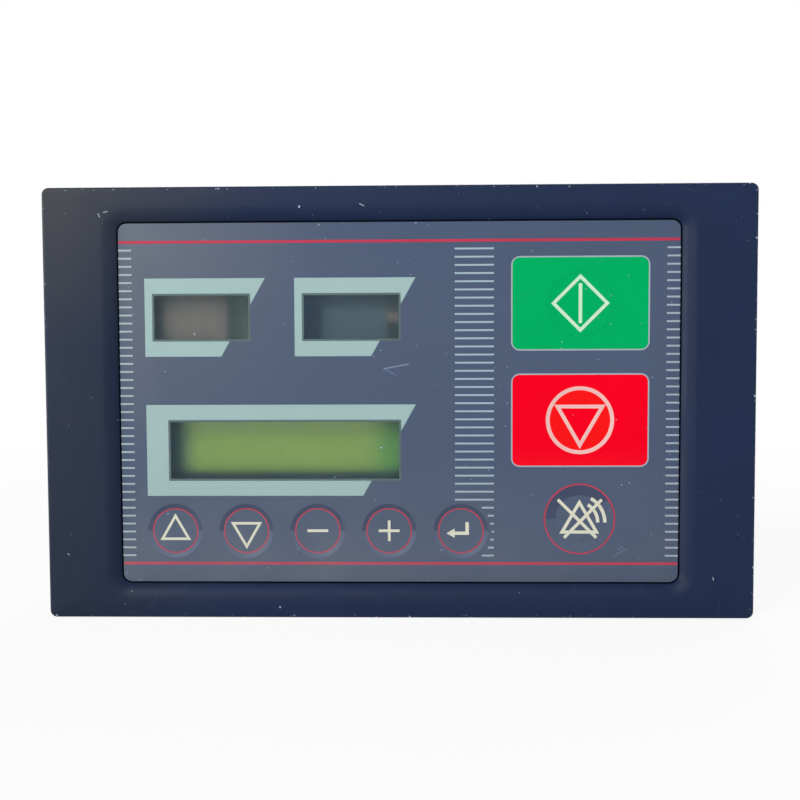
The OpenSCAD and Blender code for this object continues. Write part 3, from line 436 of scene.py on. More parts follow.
def scratch(material, start, end, width, code, strength):
    """One scratch between two points of the front view, in mm."""
    tree = material.node_tree
    place = add(tree, "ShaderNodeTexCoord").outputs["Object"]
    along = Vector((end[0] - start[0], 0, end[1] - start[1])) * MM
    from_start = add(tree, "ShaderNodeVectorMath", {0: place, 1: front(start[0], start[1], 0)},
        operation="SUBTRACT")
    flat = add(tree, "ShaderNodeVectorMath", {0: from_start.outputs[0], 1: (1, 0, 1)},
        operation="MULTIPLY")
    reach = add(tree, "ShaderNodeVectorMath", {0: flat.outputs[0], 1: along / along.length_squared},
        operation="DOT_PRODUCT")
    part = add(tree, "ShaderNodeClamp", {"Value": reach.outputs["Value"]})
    foot = add(tree, "ShaderNodeVectorMath", {0: along, "Scale": part.outputs[0]}, operation="SCALE")
    away = add(tree, "ShaderNodeVectorMath", {0: flat.outputs[0], 1: foot.outputs[0]},
        operation="DISTANCE")
    line = add(tree, "ShaderNodeMapRange", {"Value": away.outputs["Value"],
        "From Min": 0.3 * width * MM, "From Max": width * MM, "To Min": strength, "To Max": 0.0})
    colour_over(material, line.outputs[0], code)


# %% [markdown]
# The frame is moulded ABS in navy, and the fine matt grain of the mould gives it a dull gloss. Its left
# end is painted darker and greyer, and a paler grey towards the top: a painted reflection of the light
# at the left. It carries dust all over, faint hairlines, white chips that lie close together along its
# outer edge, and some scratches that stand out.

# %% Moulded ABS frame
EDGE_WIDE = 0.9
EDGE_DEEP = 1.4
FRAME_SCRATCHES = (
    ((-83.9, 53.6), (-83.5, 52.7)),
    ((-82.4, 54.0), (-81.3, 54.2)),
    ((88.4, -49.2), (88.6, -50.0)),
    ((-94.4, -42.6), (-94.0, -42.9)),
    ((-10.5, 55.9), (-9.3, 55.3)),
)


def outer_edge(tree):
    """1 on the frame's outer front edge: close to its outline, and close to its face."""
    place = add(tree, "ShaderNodeTexCoord").outputs["Object"]
    ways = add(tree, "ShaderNodeSeparateXYZ", {0: place}).outputs
    reached = []
    for axis in (0, 2):
        off = add(tree, "ShaderNodeMath", {0: ways[axis]}, operation="ABSOLUTE")
        reached.append(add(tree, "ShaderNodeMath",
            {0: off.outputs[0], 1: cad_box[1][axis] - EDGE_WIDE * MM}, operation="GREATER_THAN"))
    rim = add(tree, "ShaderNodeMath", {0: reached[0].outputs[0], 1: reached[1].outputs[0]},
        operation="MAXIMUM")
    forward = add(tree, "ShaderNodeMath", {0: ways[1], 1: (EDGE_DEEP - FACE_Z) * MM},
        operation="LESS_THAN")
    return product(tree, rim.outputs[0], forward.outputs[0])


abs_navy = finish("moulded_abs_navy", "#1A2B4B", "#152340", patch=16, gloss=(0.42, 0.55),
    relief=(0.22, 0.012), specular=0.12)
edge = outer_edge(abs_navy.node_tree)
upper = slope(abs_navy.node_tree, "Z", 15, 58)
# Painted reflection: the left end darker and greyer, and a paler grey towards the top.
fade(abs_navy, "X", -50, -95, share=0.5, code="#1E2630")
fade(abs_navy, "X", -40, -95, share=0.6, code="#3E4044", where=upper)
hairlines(abs_navy, cell=5, width=0.10, share=0.04, code="#6C7890", strength=0.22)
specks(abs_navy, cell=1.7, radius=0.18, share=0.10, code="#78849A")
specks(abs_navy, cell=6, radius=0.30, share=0.12, code="#B4BECA", seed=0.31)
specks(abs_navy, cell=2.3, radius=0.50, share=0.30, code="#C4CCD6", seed=0.57, where=edge)
specks(abs_navy, cell=0.8, radius=0.24, share=0.22, code="#97A1B0", seed=0.83, where=edge)
for start, end in FRAME_SCRATCHES:
    scratch(abs_navy, start, end, width=0.16, code="#B4BCC8", strength=0.9)
print("frame:", abs_navy.name, "with", len(FRAME_SCRATCHES), "single scratches")

# %% [markdown]
# The film is polyester, printed from behind, with a fine satin texture on its front that keeps lamps
# from glaring. All its colours lie under that same surface. One material with masks could hold them
# all, but the CAD has a layer for each, so each printed colour is one finish with the film's gloss, its
# dust and its hairlines. Low on the film, more to the left, a grey tone is partly dust and partly a
# painted sheen. The real texture is some hundredths of a millimetre wide, and it is drawn a tenth wide
# so that it shows.

# %% Printed polyester film
SATIN_GRAIN = (0.10, 0.004)


def dust_and_low_sheen(material):
    """Grey tone low on the film, more to the left, in 14 mm patches: dust and a painted sheen."""
    tree = material.node_tree
    place = add(tree, "ShaderNodeTexCoord").outputs["Object"]
    more_left = add(tree, "ShaderNodeMapRange",
        {"Value": slope(tree, "X", -20, 50), "To Min": 1.0, "To Max": 0.5})
    cloud = add(tree, "ShaderNodeTexNoise", {"Vector": place, "Scale": per_metre(14), "Detail": 4.0})
    patchy = add(tree, "ShaderNodeMapRange", {"Value": cloud.outputs[0], "From Min": NOISE_LOW,
        "From Max": NOISE_HIGH, "To Min": 0.7, "To Max": 1.2})
    fade(material, "Z", -12, -50, share=0.17, code="#A0A29D",
        where=product(tree, more_left.outputs[0], patchy.outputs[0]))


def printed(name, light, dark):
    """One printed colour under the film's satin surface."""
    made = finish(name, light, dark, patch=40, gloss=(0.34, 0.42), relief=SATIN_GRAIN, specular=0.10)
    dust_and_low_sheen(made)
    hairlines(made, cell=8, width=0.08, share=0.04, code="#A8B4C4", strength=0.12)
    specks(made, cell=1.7, radius=0.16, share=0.14, code="#A0ACB8")
    specks(made, cell=5, radius=0.28, share=0.16, code="#CCD6DC", seed=0.17)
    return made


# The ground colour, and a painted shade and a painted highlight for the shaded and the lit side of a
# dish.
film_grey = printed("printed_polyester_grey", "#4F5D76", "#495770")
film_shade = printed("printed_polyester_grey_shade", "#424C68", "#3C4662")
film_gleam = printed("printed_polyester_grey_gleam", "#556280", "#505D78")
# The fields and lines: opaque screen-printed inks, vivid where a key has to be found at once.
ink_green = printed("printed_polyester_green", "#00B062", "#00A65C")
ink_red = printed("printed_polyester_red", "#FF001E", "#F4001C")
ink_pale = printed("printed_polyester_pale_blue", "#A3C0BF", "#9CB8B7")
ink_crimson = printed("printed_polyester_crimson", "#C43C58", "#B4344E")
ink_border = printed("printed_polyester_grey_green", "#5E7072", "#566A6C")
# The signs on the keys: pale inks that stand out from their fields.
ink_cream = printed("printed_polyester_cream", "#E6E6D2", "#DCDCC8")
ink_mint = printed("printed_polyester_mint", "#CDEFD2", "#C2E6CA")
ink_rose = printed("printed_polyester_rose", "#F8C4C0", "#EEBAB6")
ink_bright = printed("printed_polyester_bright_red", "#FF0A0A", "#F80410")
print("film finishes:", len([m for m in bpy.data.materials if m.name.startswith("printed")]))

# %% [markdown]
# Some printed colours aren't the same all over. The pale ink is greyer on the ticks at the film's left
# edge, bluer on the ticks in its middle, and greyer again to the right of those. A painted sheen greys
# the film at its upper left. White light in the gloss would wash out the vivid green and red, so their
# gloss is tinted. The film also has a few scratches that stand out.

# %% Differences within the film's colours
ARROW_SCRATCHES = (
    ((-4.0, 9.8), (2.9, 11.1), 0.22, "#8FA0B8", 0.8),
    ((-4.0, 9.8), (-0.6, 7.9), 0.16, "#8496B0", 0.6),
)
RUBBED_SCRATCHES = (
    ((60.6, -43.6), (62.3, -42.7)),
    ((62.4, -42.6), (64.4, -41.5)),
    ((62.1, -41.6), (63.3, -41.0)),
)
fade(ink_pale, "X", -73, -74, share=0.5, code="#ACB4BE")
fade(ink_pale, "X", 8, 14, share=0.5, code="#A8B8CE")
fade(ink_pale, "X", 30, 32, share=0.6, code="#A6A8B6")
# Painted sheen: a warm grey over the upper left of the film.
upper = slope(film_grey.node_tree, "Z", -20, 45)
fade(film_grey, "X", -20, -75, share=0.22, code="#86847A", where=upper)
for vivid, tint in ((ink_green, (0.2, 1.0, 0.7, 1.0)), (ink_red, (1.0, 0.2, 0.6, 1.0))):
    vivid.node_tree.nodes["Principled BSDF"].inputs["Specular Tint"].default_value = tint
for start, end, width, code, strength in ARROW_SCRATCHES:
    scratch(film_grey, start, end, width, code, strength)
for start, end in RUBBED_SCRATCHES:
    scratch(film_grey, start, end, width=0.30, code="#7C8AA4", strength=0.35)
print("scratches on the film:", len(ARROW_SCRATCHES) + len(RUBBED_SCRATCHES))

# %% [markdown]
# The windows are the same film without ink: clear polyester whose satin front blurs what lies
# some millimetres behind it. Full transmission with a rough surface does that by itself, and dust
# lies on it. Its gloss is tinted, because the warm lamp would turn the dark windows brown. The
# acrylic pane is bonded to the film with clear adhesive, so hardly anything reflects between
# them: its index is the step from adhesive to acrylic, not the step from air.

# %% Clear film and acrylic
WINDOW_GLOSS = (0.45, 0.85, 1.0, 1.0)
WINDOW_DUST = {"cell": 2.2, "radius": 0.24, "share": 0.16, "seed": 0.17}


def clear(name, code, roughness, ior, dust, milky):
    """A transparent plastic. Light from the lamps and from inside passes straight through it.
    dust: 1 with specks, 0 without; milky: share of the light that its surface scatters."""
    made = finish(name, code, code, patch=10, gloss=(roughness, roughness + 0.04),
        relief=(1.5, 0.002), ior=ior)
    tree = made.node_tree
    shader = tree.nodes["Principled BSDF"]
    shader.inputs["Transmission Weight"].default_value = 1.0
    shader.inputs["Specular Tint"].default_value = WINDOW_GLOSS
    rays = add(tree, "ShaderNodeLightPath")
    light = add(tree, "ShaderNodeMath",
        {0: rays.outputs["Is Shadow Ray"], 1: rays.outputs["Is Diffuse Ray"]}, operation="MAXIMUM")
    straight = add(tree, "ShaderNodeBsdfTransparent", {"Color": linear(code)})
    both = add(tree, "ShaderNodeMixShader",
        {0: light.outputs[0], 1: shader.outputs[0], 2: straight.outputs[0]})
    grain = add(tree, "ShaderNodeBsdfDiffuse", {"Color": linear("#B4CCEC")})
    veil = add(tree, "ShaderNodeMath", {0: dots(tree, **WINDOW_DUST), 1: milky}, operation="MAXIMUM")
    dusty = add(tree, "ShaderNodeMixShader",
        {0: product(tree, veil.outputs[0], dust), 1: both.outputs[0], 2: grain.outputs[0]})
    tree.links.new(dusty.outputs[0], tree.nodes["Material Output"].inputs["Surface"])
    return made


# Satin polyester: blurs what is behind it, and a faint veil lies over it.
film_clear = clear("satin_polyester_clear", "#EEF4F8", roughness=0.90, ior=1.45, dust=1.0, milky=0.022)
# Cast acrylic: clear and polished, hardly seen under the film.
acrylic = clear("cast_acrylic_pane", "#FAFCFB", roughness=0.0, ior=1.1, dust=0.0, milky=0.0)
print("clear finishes:", film_clear.name, "and", acrylic.name)

# %% [markdown]
# The character display is a yellow-green liquid crystal glass. As it looks through the satin film,
# three soft colours are laid over it: painted light makes it paler along its top, painted shade makes
# it a darker green towards its right end, and a painted shadow makes it dark at its left end.

# %% Display glass
lcd_glass = finish("display_glass_yellow_green", "#9CB454", "#92AA4C", patch=12, gloss=(0.25, 0.35),
    relief=(1.0, 0.002), specular=0.10)
fade(lcd_glass, "Z", -9.5, -5.5, share=0.85, code="#D8EC98")
fade(lcd_glass, "X", -9.0, -3.0, share=0.75, code="#58984C")
fade(lcd_glass, "X", -58.5, -62.0, share=0.65, code="#1C3E4C")
print("display glass:", lcd_glass.name)

# %% [markdown]
# The metals are zinc-plated steel screws, studs and cover, aluminium plate and heat sink, and
# brass spacers. Plating and rolling give a metal its fine relief. It is finer than the render
# shows, so it is drawn a quarter of a millimetre wide. The zinc of the cover has large crystals,
# the spangle, that differ slightly in brightness.

# %% Metals
# Zinc plate: bright, a little cold, and uneven in its gloss.
zinc = finish("zinc_plated_steel", "#C6CACE", "#AEB4BA", patch=3, gloss=(0.28, 0.40),
    relief=(0.25, 0.006), metallic=1.0)
# Rolled sheet: pale and even, with a soft gloss.
plate_metal = finish("rolled_aluminium", "#C8CBCE", "#B8BCC0", patch=9, gloss=(0.30, 0.42),
    relief=(0.30, 0.005), metallic=1.0)
# Extruded profile: greyer and duller than sheet.
sink_metal = finish("extruded_aluminium", "#A9AEB4", "#979DA4", patch=6, gloss=(0.35, 0.50),
    relief=(0.30, 0.010), metallic=1.0)
# Turned brass: warm yellow and fairly bright.
brass = finish("turned_brass", "#D2B468", "#BC9C52", patch=3, gloss=(0.25, 0.38),
    relief=(0.20, 0.006), metallic=1.0)
# Nickel plate: warm white and the brightest of them.
nickel = finish("nickel_plated_brass", "#D8D6CE", "#C6C4BC", patch=4, gloss=(0.18, 0.28),
    relief=(0.30, 0.003), metallic=1.0)
# Blackened steel: its black coat hides the metal, so it is drawn as a dull dark blue coat.
black_steel = finish("blackened_steel", "#102436", "#0C1C2C", patch=5, gloss=(0.45, 0.60),
    relief=(0.25, 0.008), specular=0.10)
# Hot-dip zinc: mid grey, in crystals that the next lines add.
cover_metal = finish("hot_dip_zinc_cover", "#8D9396", "#7E8588", patch=18, gloss=(0.34, 0.50),
    relief=(0.30, 0.006), metallic=1.0)


def spangle(material, size):
    """Crystals of zinc of that size in mm, each with its own brightness and gloss."""
    tree = material.node_tree
    shader = tree.nodes["Principled BSDF"]
    place = add(tree, "ShaderNodeTexCoord").outputs["Object"]
    cells = add(tree, "ShaderNodeTexVoronoi",
        {"Vector": place, "Scale": per_metre(size), "Randomness": 0.9})
    tone = add(tree, "ShaderNodeSeparateColor", {0: cells.outputs["Color"]})
    colour_over(material, product(tree, tone.outputs[0], 0.22), "#A4A9AC")
    gloss = add(tree, "ShaderNodeMapRange", {"Value": tone.outputs[1], "To Min": 0.38, "To Max": 0.50})
    tree.links.new(gloss.outputs[0], shader.inputs["Roughness"])


spangle(cover_metal, size=4)
metals = (zinc, plate_metal, sink_metal, brass, nickel, black_steel, cover_metal)
print("metals:", [metal.name for metal in metals])

# %% [markdown]
# The circuit boards are glass-epoxy laminate. Most are green with solder mask. The board behind the
# number displays lies deep in shade behind the film, but shows pale beside them through the film, so it
# is painted pale: painted light. It is rosy at its left end, and a bluish field in the middle is
# painted shade from the wall of the window. Copper tracks are a few hundredths of a millimetre high,
# too low to be worth modelling, so the Brick texture draws them as lines on a grid, and solder shows as
# small bright dots.

# %% Circuit boards
GRID = 2.54
TRACK_W = 0.03


def tracks(material):
    """Tracks that run straight on the grid of the parts, and soldered holes. The texture's unit is
    four steps of the grid, so a row is one step high."""
    tree = material.node_tree
    place = add(tree, "ShaderNodeTexCoord").outputs["Object"]
    upright = add(tree, "ShaderNodeMapping", {"Vector": place, "Rotation": (pi / 2, 0, 0)})
    rows = add(tree, "ShaderNodeTexBrick", {"Vector": upright.outputs[0], "Scale": per_metre(4 * GRID),
        "Mortar Size": TRACK_W, "Row Height": 0.25, "Brick Width": 1.25, "Color1": BLACK,
        "Color2": BLACK, "Mortar": WHITE})
    colour_over(material, rows.outputs["Color"], "#3E9A5C")
    specks(material, cell=2 * GRID, radius=0.55, share=0.45, code="#C9CDCB")


mask_green = finish("glass_epoxy_green_mask", "#1F7040", "#195F36", patch=8, gloss=(0.25, 0.35),
    relief=(0.40, 0.006))
# Painted light: a pale board where it lies in shade behind the film.
painted_light_board = finish("glass_epoxy_bare_laminate", "#CCD6CC", "#C0CAC0", patch=8, gloss=(0.30, 0.40),
    relief=(0.40, 0.006))
for board in (mask_green, painted_light_board):
    tracks(board)
# Rosy at the left end, then a bluish painted shade where the window's wall shades the board, then pale
# again.
fade(painted_light_board, "X", -66, -69, share=0.8, code="#E8C4D4")
fade(painted_light_board, "X", -40, -28, share=0.85, code="#3C68B4")
fade(painted_light_board, "X", -12, -4, share=0.9, code="#CCD6D6")
print("boards:", mask_green.name, "and", painted_light_board.name)

# %% [markdown]
# Sockets, chips, terminals, relays and keys are moulded in black nylon, green polyamide, blue
# polyester and white acetal. Moulding leaves an even colour with a light grain, and the foam seal
# shows its pores.

# %% Moulded plastics and rubber
# Moulded nylon: near black with a soft gloss.
nylon_black = finish("moulded_nylon_black", "#232325", "#1A1A1C", patch=5, gloss=(0.40, 0.55),
    relief=(0.15, 0.010))
# Cell rubber: dull, with the pores of its cut cells.
rubber_foam = finish("cell_rubber_foam", "#303032", "#1E1E20", patch=2, gloss=(0.80, 0.95),
    relief=(0.45, 0.120))
# Moulded polyamide and polyester: even colours with a light grain.
terminal_green = finish("moulded_polyamide_green", "#3D9460", "#338454", patch=6, gloss=(0.38, 0.50),
    relief=(0.15, 0.008))
relay_blue = finish("moulded_polyester_blue", "#2A4C6C", "#22405C", patch=8, gloss=(0.25, 0.35),
    relief=(0.20, 0.006))
# Moulded acetal: white, smooth and a little waxy.
acetal = finish("moulded_acetal_white", "#E0E0D8", "#D4D4CC", patch=6, gloss=(0.40, 0.50),
    relief=(0.15, 0.006))
plastics = (nylon_black, rubber_foam, terminal_green, relay_blue, acetal)
print("plastics and rubber:", [plastic.name for plastic in plastics])

# %% [markdown]
# Resin is poured round the transformer and into the displays, and the capacitors wear a shrunk
# sleeve that leaves the flat end of their can bare. The left number display is warmer than the
# right one, as they look through the film. A pale sheet of adhesive foam holds the film.

# %% Resins, sleeves and adhesive
# Potting resin: black, with the slow waves of a poured surface.
potting = finish("potted_epoxy_black", "#2A2C30", "#202226", patch=10, gloss=(0.30, 0.50),
    relief=(2.00, 0.030))
# Shrunk sleeve: a thin blue skin that is drawn tight.
sleeve = finish("shrunk_sleeve_blue", "#26306A", "#1E2656", patch=5, gloss=(0.25, 0.35),
    relief=(0.80, 0.010))
# Adhesive foam: pale and dull.
adhesive = finish("adhesive_foam_sheet", "#D0D2CA", "#C2C4BC", patch=4, gloss=(0.60, 0.75),
    relief=(0.25, 0.020))
# Cast epoxy: the tinted fronts of the number displays and of the small lamp.
display_warm = finish("cast_epoxy_display_brown_grey", "#8C7C74", "#807068", patch=4,
    gloss=(0.35, 0.45), relief=(0.20, 0.004), specular=0.10)
display_cool = finish("cast_epoxy_display_green_grey", "#56646E", "#4E5A64", patch=4,
    gloss=(0.35, 0.45), relief=(0.20, 0.004), specular=0.10)
lamp_epoxy = finish("cast_epoxy_lamp_rose", "#D0AC98", "#C4A08C", patch=2, gloss=(0.15, 0.22),
    relief=(0.50, 0.002))


def can_tops(material, edge):
    """Bare aluminium on the flat ends of the capacitors, past that distance behind the panel in mm."""
    tree = material.node_tree
    place = add(tree, "ShaderNodeTexCoord").outputs["Object"]
    depth = add(tree, "ShaderNodeSeparateXYZ", {0: place})
    past = add(tree, "ShaderNodeMath", {0: depth.outputs["Y"], 1: edge * MM}, operation="GREATER_THAN")
    colour_over(material, past.outputs[0], "#C4C7CA")


TOP_THICK = 0.1
can_tops(sleeve, -height("capacitors", 1) - TOP_THICK)
print("all finishes so far:", len(bpy.data.materials))

# %% [markdown]
# Most CAD nodes are shown as they are, and each takes its finish here. Those that get a modelled
# piece later on, such as the film, are dressed too, so that nothing is bare while the scene grows.

# %% Give every CAD node its finish
FINISHES = {
    abs_navy: ["bezel_frame"],
    zinc: ["panel_studs", "plate_studs", "plate_nuts", "lcd_screws", "board_screws", "terminal_screws",
        "cover_screws"],
    rubber_foam: ["panel_seal"],
    film_grey: ["front_film"],
    ink_crimson: ["print_lines"],
    ink_pale: ["print_pale"],
    ink_green: ["start_field"],
    ink_red: ["stop_field"],
    adhesive: ["keypad_spacer"],
    plate_metal: ["front_plate"],
    acrylic: ["window_left", "window_right", "window_characters"],
    acetal: [name for name in nodes if name.startswith("key_")] + ["lcd_backlight", "lcd_spacers"],
    nylon_black: ["key_switches", "digit_sockets", "lcd_header", "board_connector", "controller_chip",
        "memory_chip", "regulator"],
    mask_green: ["lcd_board", "main_board"],
    painted_light_board: ["display_board"],
    display_warm: ["digits_left"],
    display_cool: ["digits_right"],
    lamp_epoxy: ["signal_lamp"],
    black_steel: ["lcd_bezel"],
    lcd_glass: ["lcd_glass"],
    brass: ["front_spacers", "rear_spacers", "fuse_holder", "cover_inserts"],
    potting: ["transformer"],
    relay_blue: ["relays"],
    sleeve: ["capacitors"],
    sink_metal: ["heat_sink"],
    nickel: ["fuse"],
    terminal_green: ["terminal_headers", "terminal_plugs"],
    cover_metal: ["rear_cover"],
}
for material, names in FINISHES.items():
    for name in names:
        for holder in nodes[name].material_slots:
            holder.material = material
dressed = {name for names in FINISHES.values() for name in names}
print("nodes without a finish:", sorted(set(nodes) - dressed))

# %% [markdown]
# Small helpers for modelling by hand. One makes a piece active and alone, one keeps a new
# primitive's place in its mesh, and one selects parts of a mesh by their place.

# %% Helpers that start and select
def alone(piece):
    """Makes one piece selected and active, and no other."""
    bpy.ops.object.select_all(action="DESELECT")
    piece.select_set(True)
    bpy.context.view_layer.objects.active = piece
    return piece


def place_in_mesh():
    """Puts the place, turn and scale of the selected piece into its mesh."""
    bpy.ops.object.transform_apply(location=True, rotation=True, scale=True)


def started(name):
    """Names the new primitive, and puts its place into its mesh."""
    piece = alone(bpy.context.object)
    piece.name = name
    piece.data.name = name
    place_in_mesh()
    return piece


def edit_all():
    """Goes to edit mode with everything selected."""
    bpy.ops.object.mode_set(mode="EDIT")
    bpy.ops.mesh.select_all(action="SELECT")


def done():
    """Leaves edit mode."""
    bpy.ops.object.mode_set(mode="OBJECT")


def choose(piece, kind, wanted):
    """Selects the VERT, EDGE or FACE parts whose middle wanted() accepts, and stays in edit mode."""
    alone(piece)
    bpy.ops.object.mode_set(mode="EDIT")
    bpy.ops.mesh.select_mode(type=kind)
    bpy.ops.mesh.select_all(action="DESELECT")
    done()
    mesh = piece.data
    if kind == "VERT":
        for part in mesh.vertices:
            part.select = wanted(part.co)
    elif kind == "EDGE":
        for part in mesh.edges:
            a, b = (mesh.vertices[i].co for i in part.vertices)
            part.select = wanted((a + b) / 2)
    else:
        for part in mesh.polygons:
            part.select = wanted(part.center)
    bpy.ops.object.mode_set(mode="EDIT")


# %% [markdown]
# Three more helpers end a piece. One applies a modifier, and one joins what was modelled apart.
# The last one gives a finished piece its finish and the body it rides on.

# %% Helpers that finish a piece
def apply(piece, kind, **settings):
    """Adds a modifier, sets it and applies it."""
    alone(piece)
    made = piece.modifiers.new("step", kind)
    for name, value in settings.items():
        setattr(made, name, value)
    bpy.ops.object.modifier_apply(modifier="step")


def join(name, pieces):
    """Makes one piece of several."""
    alone(pieces[0])
    for piece in pieces[1:]:
        piece.select_set(True)
    if len(pieces) > 1:
        bpy.ops.object.join()
    pieces[0].name = name
    return pieces[0]


def give(piece, material, body, slot, *replaced):
    """Last step of a piece: its finish, its body and the CAD nodes it stands for. The slot is not used.
    """
    piece.data.materials.clear()
    piece.data.materials.append(material)
    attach(piece, body)
    if replaced:
        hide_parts(*replaced)
    return piece


# %% [markdown]
# Flat pieces come back often: the film, the colour fields, the windows. Each starts as a cube at
# its size. A Bevel modifier would round every edge, so only the four edges that run front to back
# are chosen and bevelled. Holes are cut with a boolean, which keeps them round, and its cutters
# are cylinders and cubes at the place of the hole.

# %% Rounded slabs and cuts
ROUND_SIDES = 96
SHARP = 0
ON_THE_SPOT = 1e-3


def slab(name, x, y, w, h, corner, low, high):
    """A flat block between two heights, with its corners rounded, in mm of the front view."""
    bpy.ops.mesh.primitive_cube_add(size=1, location=front(x, y, (low + high) / 2),
        scale=(w * MM, (high - low) * MM, h * MM))
    piece = started(name)

    def front_to_back(p):
        beside = abs(abs(p.x / MM - x) - w / 2)
        above = abs(abs(p.z / MM - y) - h / 2)
        return beside < ON_THE_SPOT and above < ON_THE_SPOT

    if corner:
        choose(piece, "EDGE", front_to_back)
        bpy.ops.mesh.bevel(offset=corner * MM, segments=8, affect="EDGES")
        done()
    return piece


def rod(name, x, y, radius, low, high, sides=ROUND_SIDES):
    """A round pin between two heights."""
    bpy.ops.mesh.primitive_cylinder_add(vertices=sides, radius=radius * MM, depth=(high - low) * MM,
        location=front(x, y, (low + high) / 2), rotation=(pi / 2, 0, 0))
    return started(name)


def cut(piece, cutters):
    """Takes the cutters, which don't touch each other, out of the piece."""
    tool = join("cutter", cutters)
    apply(piece, "BOOLEAN", object=tool, operation="DIFFERENCE", solver="EXACT")
    bpy.data.objects.remove(tool, do_unlink=True)
    return piece


# %% [markdown]
# Each key is a dish pressed into the film. The five round keys have a steep, narrow slope, the
# reset key a wide one, and the start and stop keys are very shallow. A dish could be displaced by
# a height map, but two insets give exact circles with few faces. When a key is pressed the film
# gives way there, so each dish is its own piece that rides on the key, and the film round it
# stays. A narrow rim of film goes with the dish, and a slit of 0.02 mm round it keeps the two
# from touching. The wall of the film's hole is deeper than the travel, so nothing shows past it.

# %% Dishes: radius, width of the slope and depth in mm
ROUND_KEYS = ("key_up", "key_down", "key_minus", "key_plus", "key_enter")
ROUND_DEPTH = 0.45
DISHES = {key: (7.7, 1.2, ROUND_DEPTH) for key in ROUND_KEYS}
DISHES["key_start"] = (8.8, 1.2, 0.15)
DISHES["key_stop"] = (9.6, 1.2, 0.15)
DISHES["key_reset"] = (9.5, 2.7, ROUND_DEPTH)
RIM = 0.3
SLIT = 0.02
AT_CREASE = 0.02
EASED = 0.18
SMOOTH = radians(30)
KEY_FINISH = {"key_start": ink_green, "key_stop": ink_red}
KEY_SLOT = {"key_start": "green_ink", "key_stop": "stop_red_ink"}


def top_of(key):
    """Height of the film or colour field round a key."""
    return FILM_Z + (INK_THICK if key in KEY_FINISH else 0)


def hole_for(key, reach):
    """A cutter for the hole that a dish moves in, which reaches that far past the film."""
    return rod("hole", *middle(key), DISHES[key][0] + RIM + SLIT, FILM_Z - reach, FILM_Z + reach)


def pressed_dish(key):
    """Disc, inset twice for rim and floor. The floor is pushed back, and both creases are eased."""
    radius, fall, depth = DISHES[key]
    x, y = middle(key)
    bpy.ops.mesh.primitive_circle_add(vertices=ROUND_SIDES, radius=(radius + RIM) * MM,
        fill_type="NGON", location=front(x, y, top_of(key)), rotation=(pi / 2, 0, 0))
    piece = started("film_dish_" + key[4:])
    edit_all()
    bpy.ops.mesh.inset(thickness=RIM * MM)
    bpy.ops.mesh.inset(thickness=fall * MM)
    bpy.ops.transform.translate(value=(0, depth * MM, 0))
    done()

    def crease(p):
        away = hypot(p.x / MM - x, p.z / MM - y)
        return abs(away - radius) < AT_CREASE or abs(away - radius + fall) < AT_CREASE

    choose(piece, "EDGE", crease)
    bpy.ops.mesh.bevel(offset=EASED * MM, segments=3, affect="EDGES")
    done()
    apply(piece, "SOLIDIFY", thickness=FILM_THICK * MM, offset=-1)
    bpy.ops.object.shade_smooth_by_angle(angle=SMOOTH)
    return give(piece, KEY_FINISH.get(key, film_grey), key, KEY_SLOT.get(key, "film"))


for key in DISHES:
    pressed_dish(key)
print("dishes:", len(DISHES), "deepest floor at", FILM_Z - ROUND_DEPTH, "mm")

# %% [markdown]
# The slope of a grey dish shows as a dark crescent above and a light one below. Soft light draws them
# more faintly than the photograph does, so each crescent is painted: a painted shade on the upper faces
# and a painted highlight on the lower ones. On the wide slope of the reset key only the painted shade
# shows, from the upper right to the left.

# %% Painted shade and painted highlight on the grey dishes
FIRST_SHADED = {"key_reset": radians(32)}
SHADE, GLEAM = 1, 2
SLOPE_MORE = 0.1
for key in [*ROUND_KEYS, "key_reset"]:
    radius, fall = DISHES[key][:2]
    x, y = middle(key)
    piece = bpy.data.objects["film_dish_" + key[4:]]
    piece.data.materials.append(film_shade)
    piece.data.materials.append(film_gleam)
    below = 0 if key == "key_reset" else GLEAM
    for face in piece.data.polygons:
        right, up = face.center.x / MM - x, face.center.z / MM - y
        if radius - fall - SLOPE_MORE < hypot(right, up) < radius + SLOPE_MORE:
            shaded = FIRST_SHADED.get(key, 0) < atan2(up, right) % (2 * pi) < pi
            face.material_index = SHADE if shaded else below
    shaded_faces = [face for face in piece.data.polygons if face.material_index == SHADE]
    print(key, "has", len(shaded_faces), "shaded faces")

# %% [markdown]
# The film round the dishes is one sheet of 158 x 102 mm. It gets a round hole for each dish and
# an opening for each window, all cut by one boolean, as one knife die cuts them in one stroke.
# The die leaves a narrow bright line along the edge, so the outer front edge gets a tiny bevel.

# %% The film with its openings
WINDOWS = {
    "left": (-55.65, 24.45, 26.7, 12.3),
    "right": (-13.15, 24.45, 26.7, 12.3),
    "characters": (-32.35, -13.3, 65.1, 16.2),
}
FILM_R = 2.4
DIE_EDGE = 0.12
FILM_REACH = 2
NEAR = 0.01


def die_cut_edge(p):
    """The film's outer front edge, along its sides and round its corners."""
    right, up = abs(p.x) / MM - FILM_W / 2, abs(p.z) / MM - FILM_H / 2
    in_corner = right > -FILM_R and up > -FILM_R
    round_corner = in_corner and hypot(right + FILM_R, up + FILM_R) > FILM_R - 0.05
    return -p.y / MM > FILM_Z - NEAR and (right > -NEAR or up > -NEAR or round_corner)


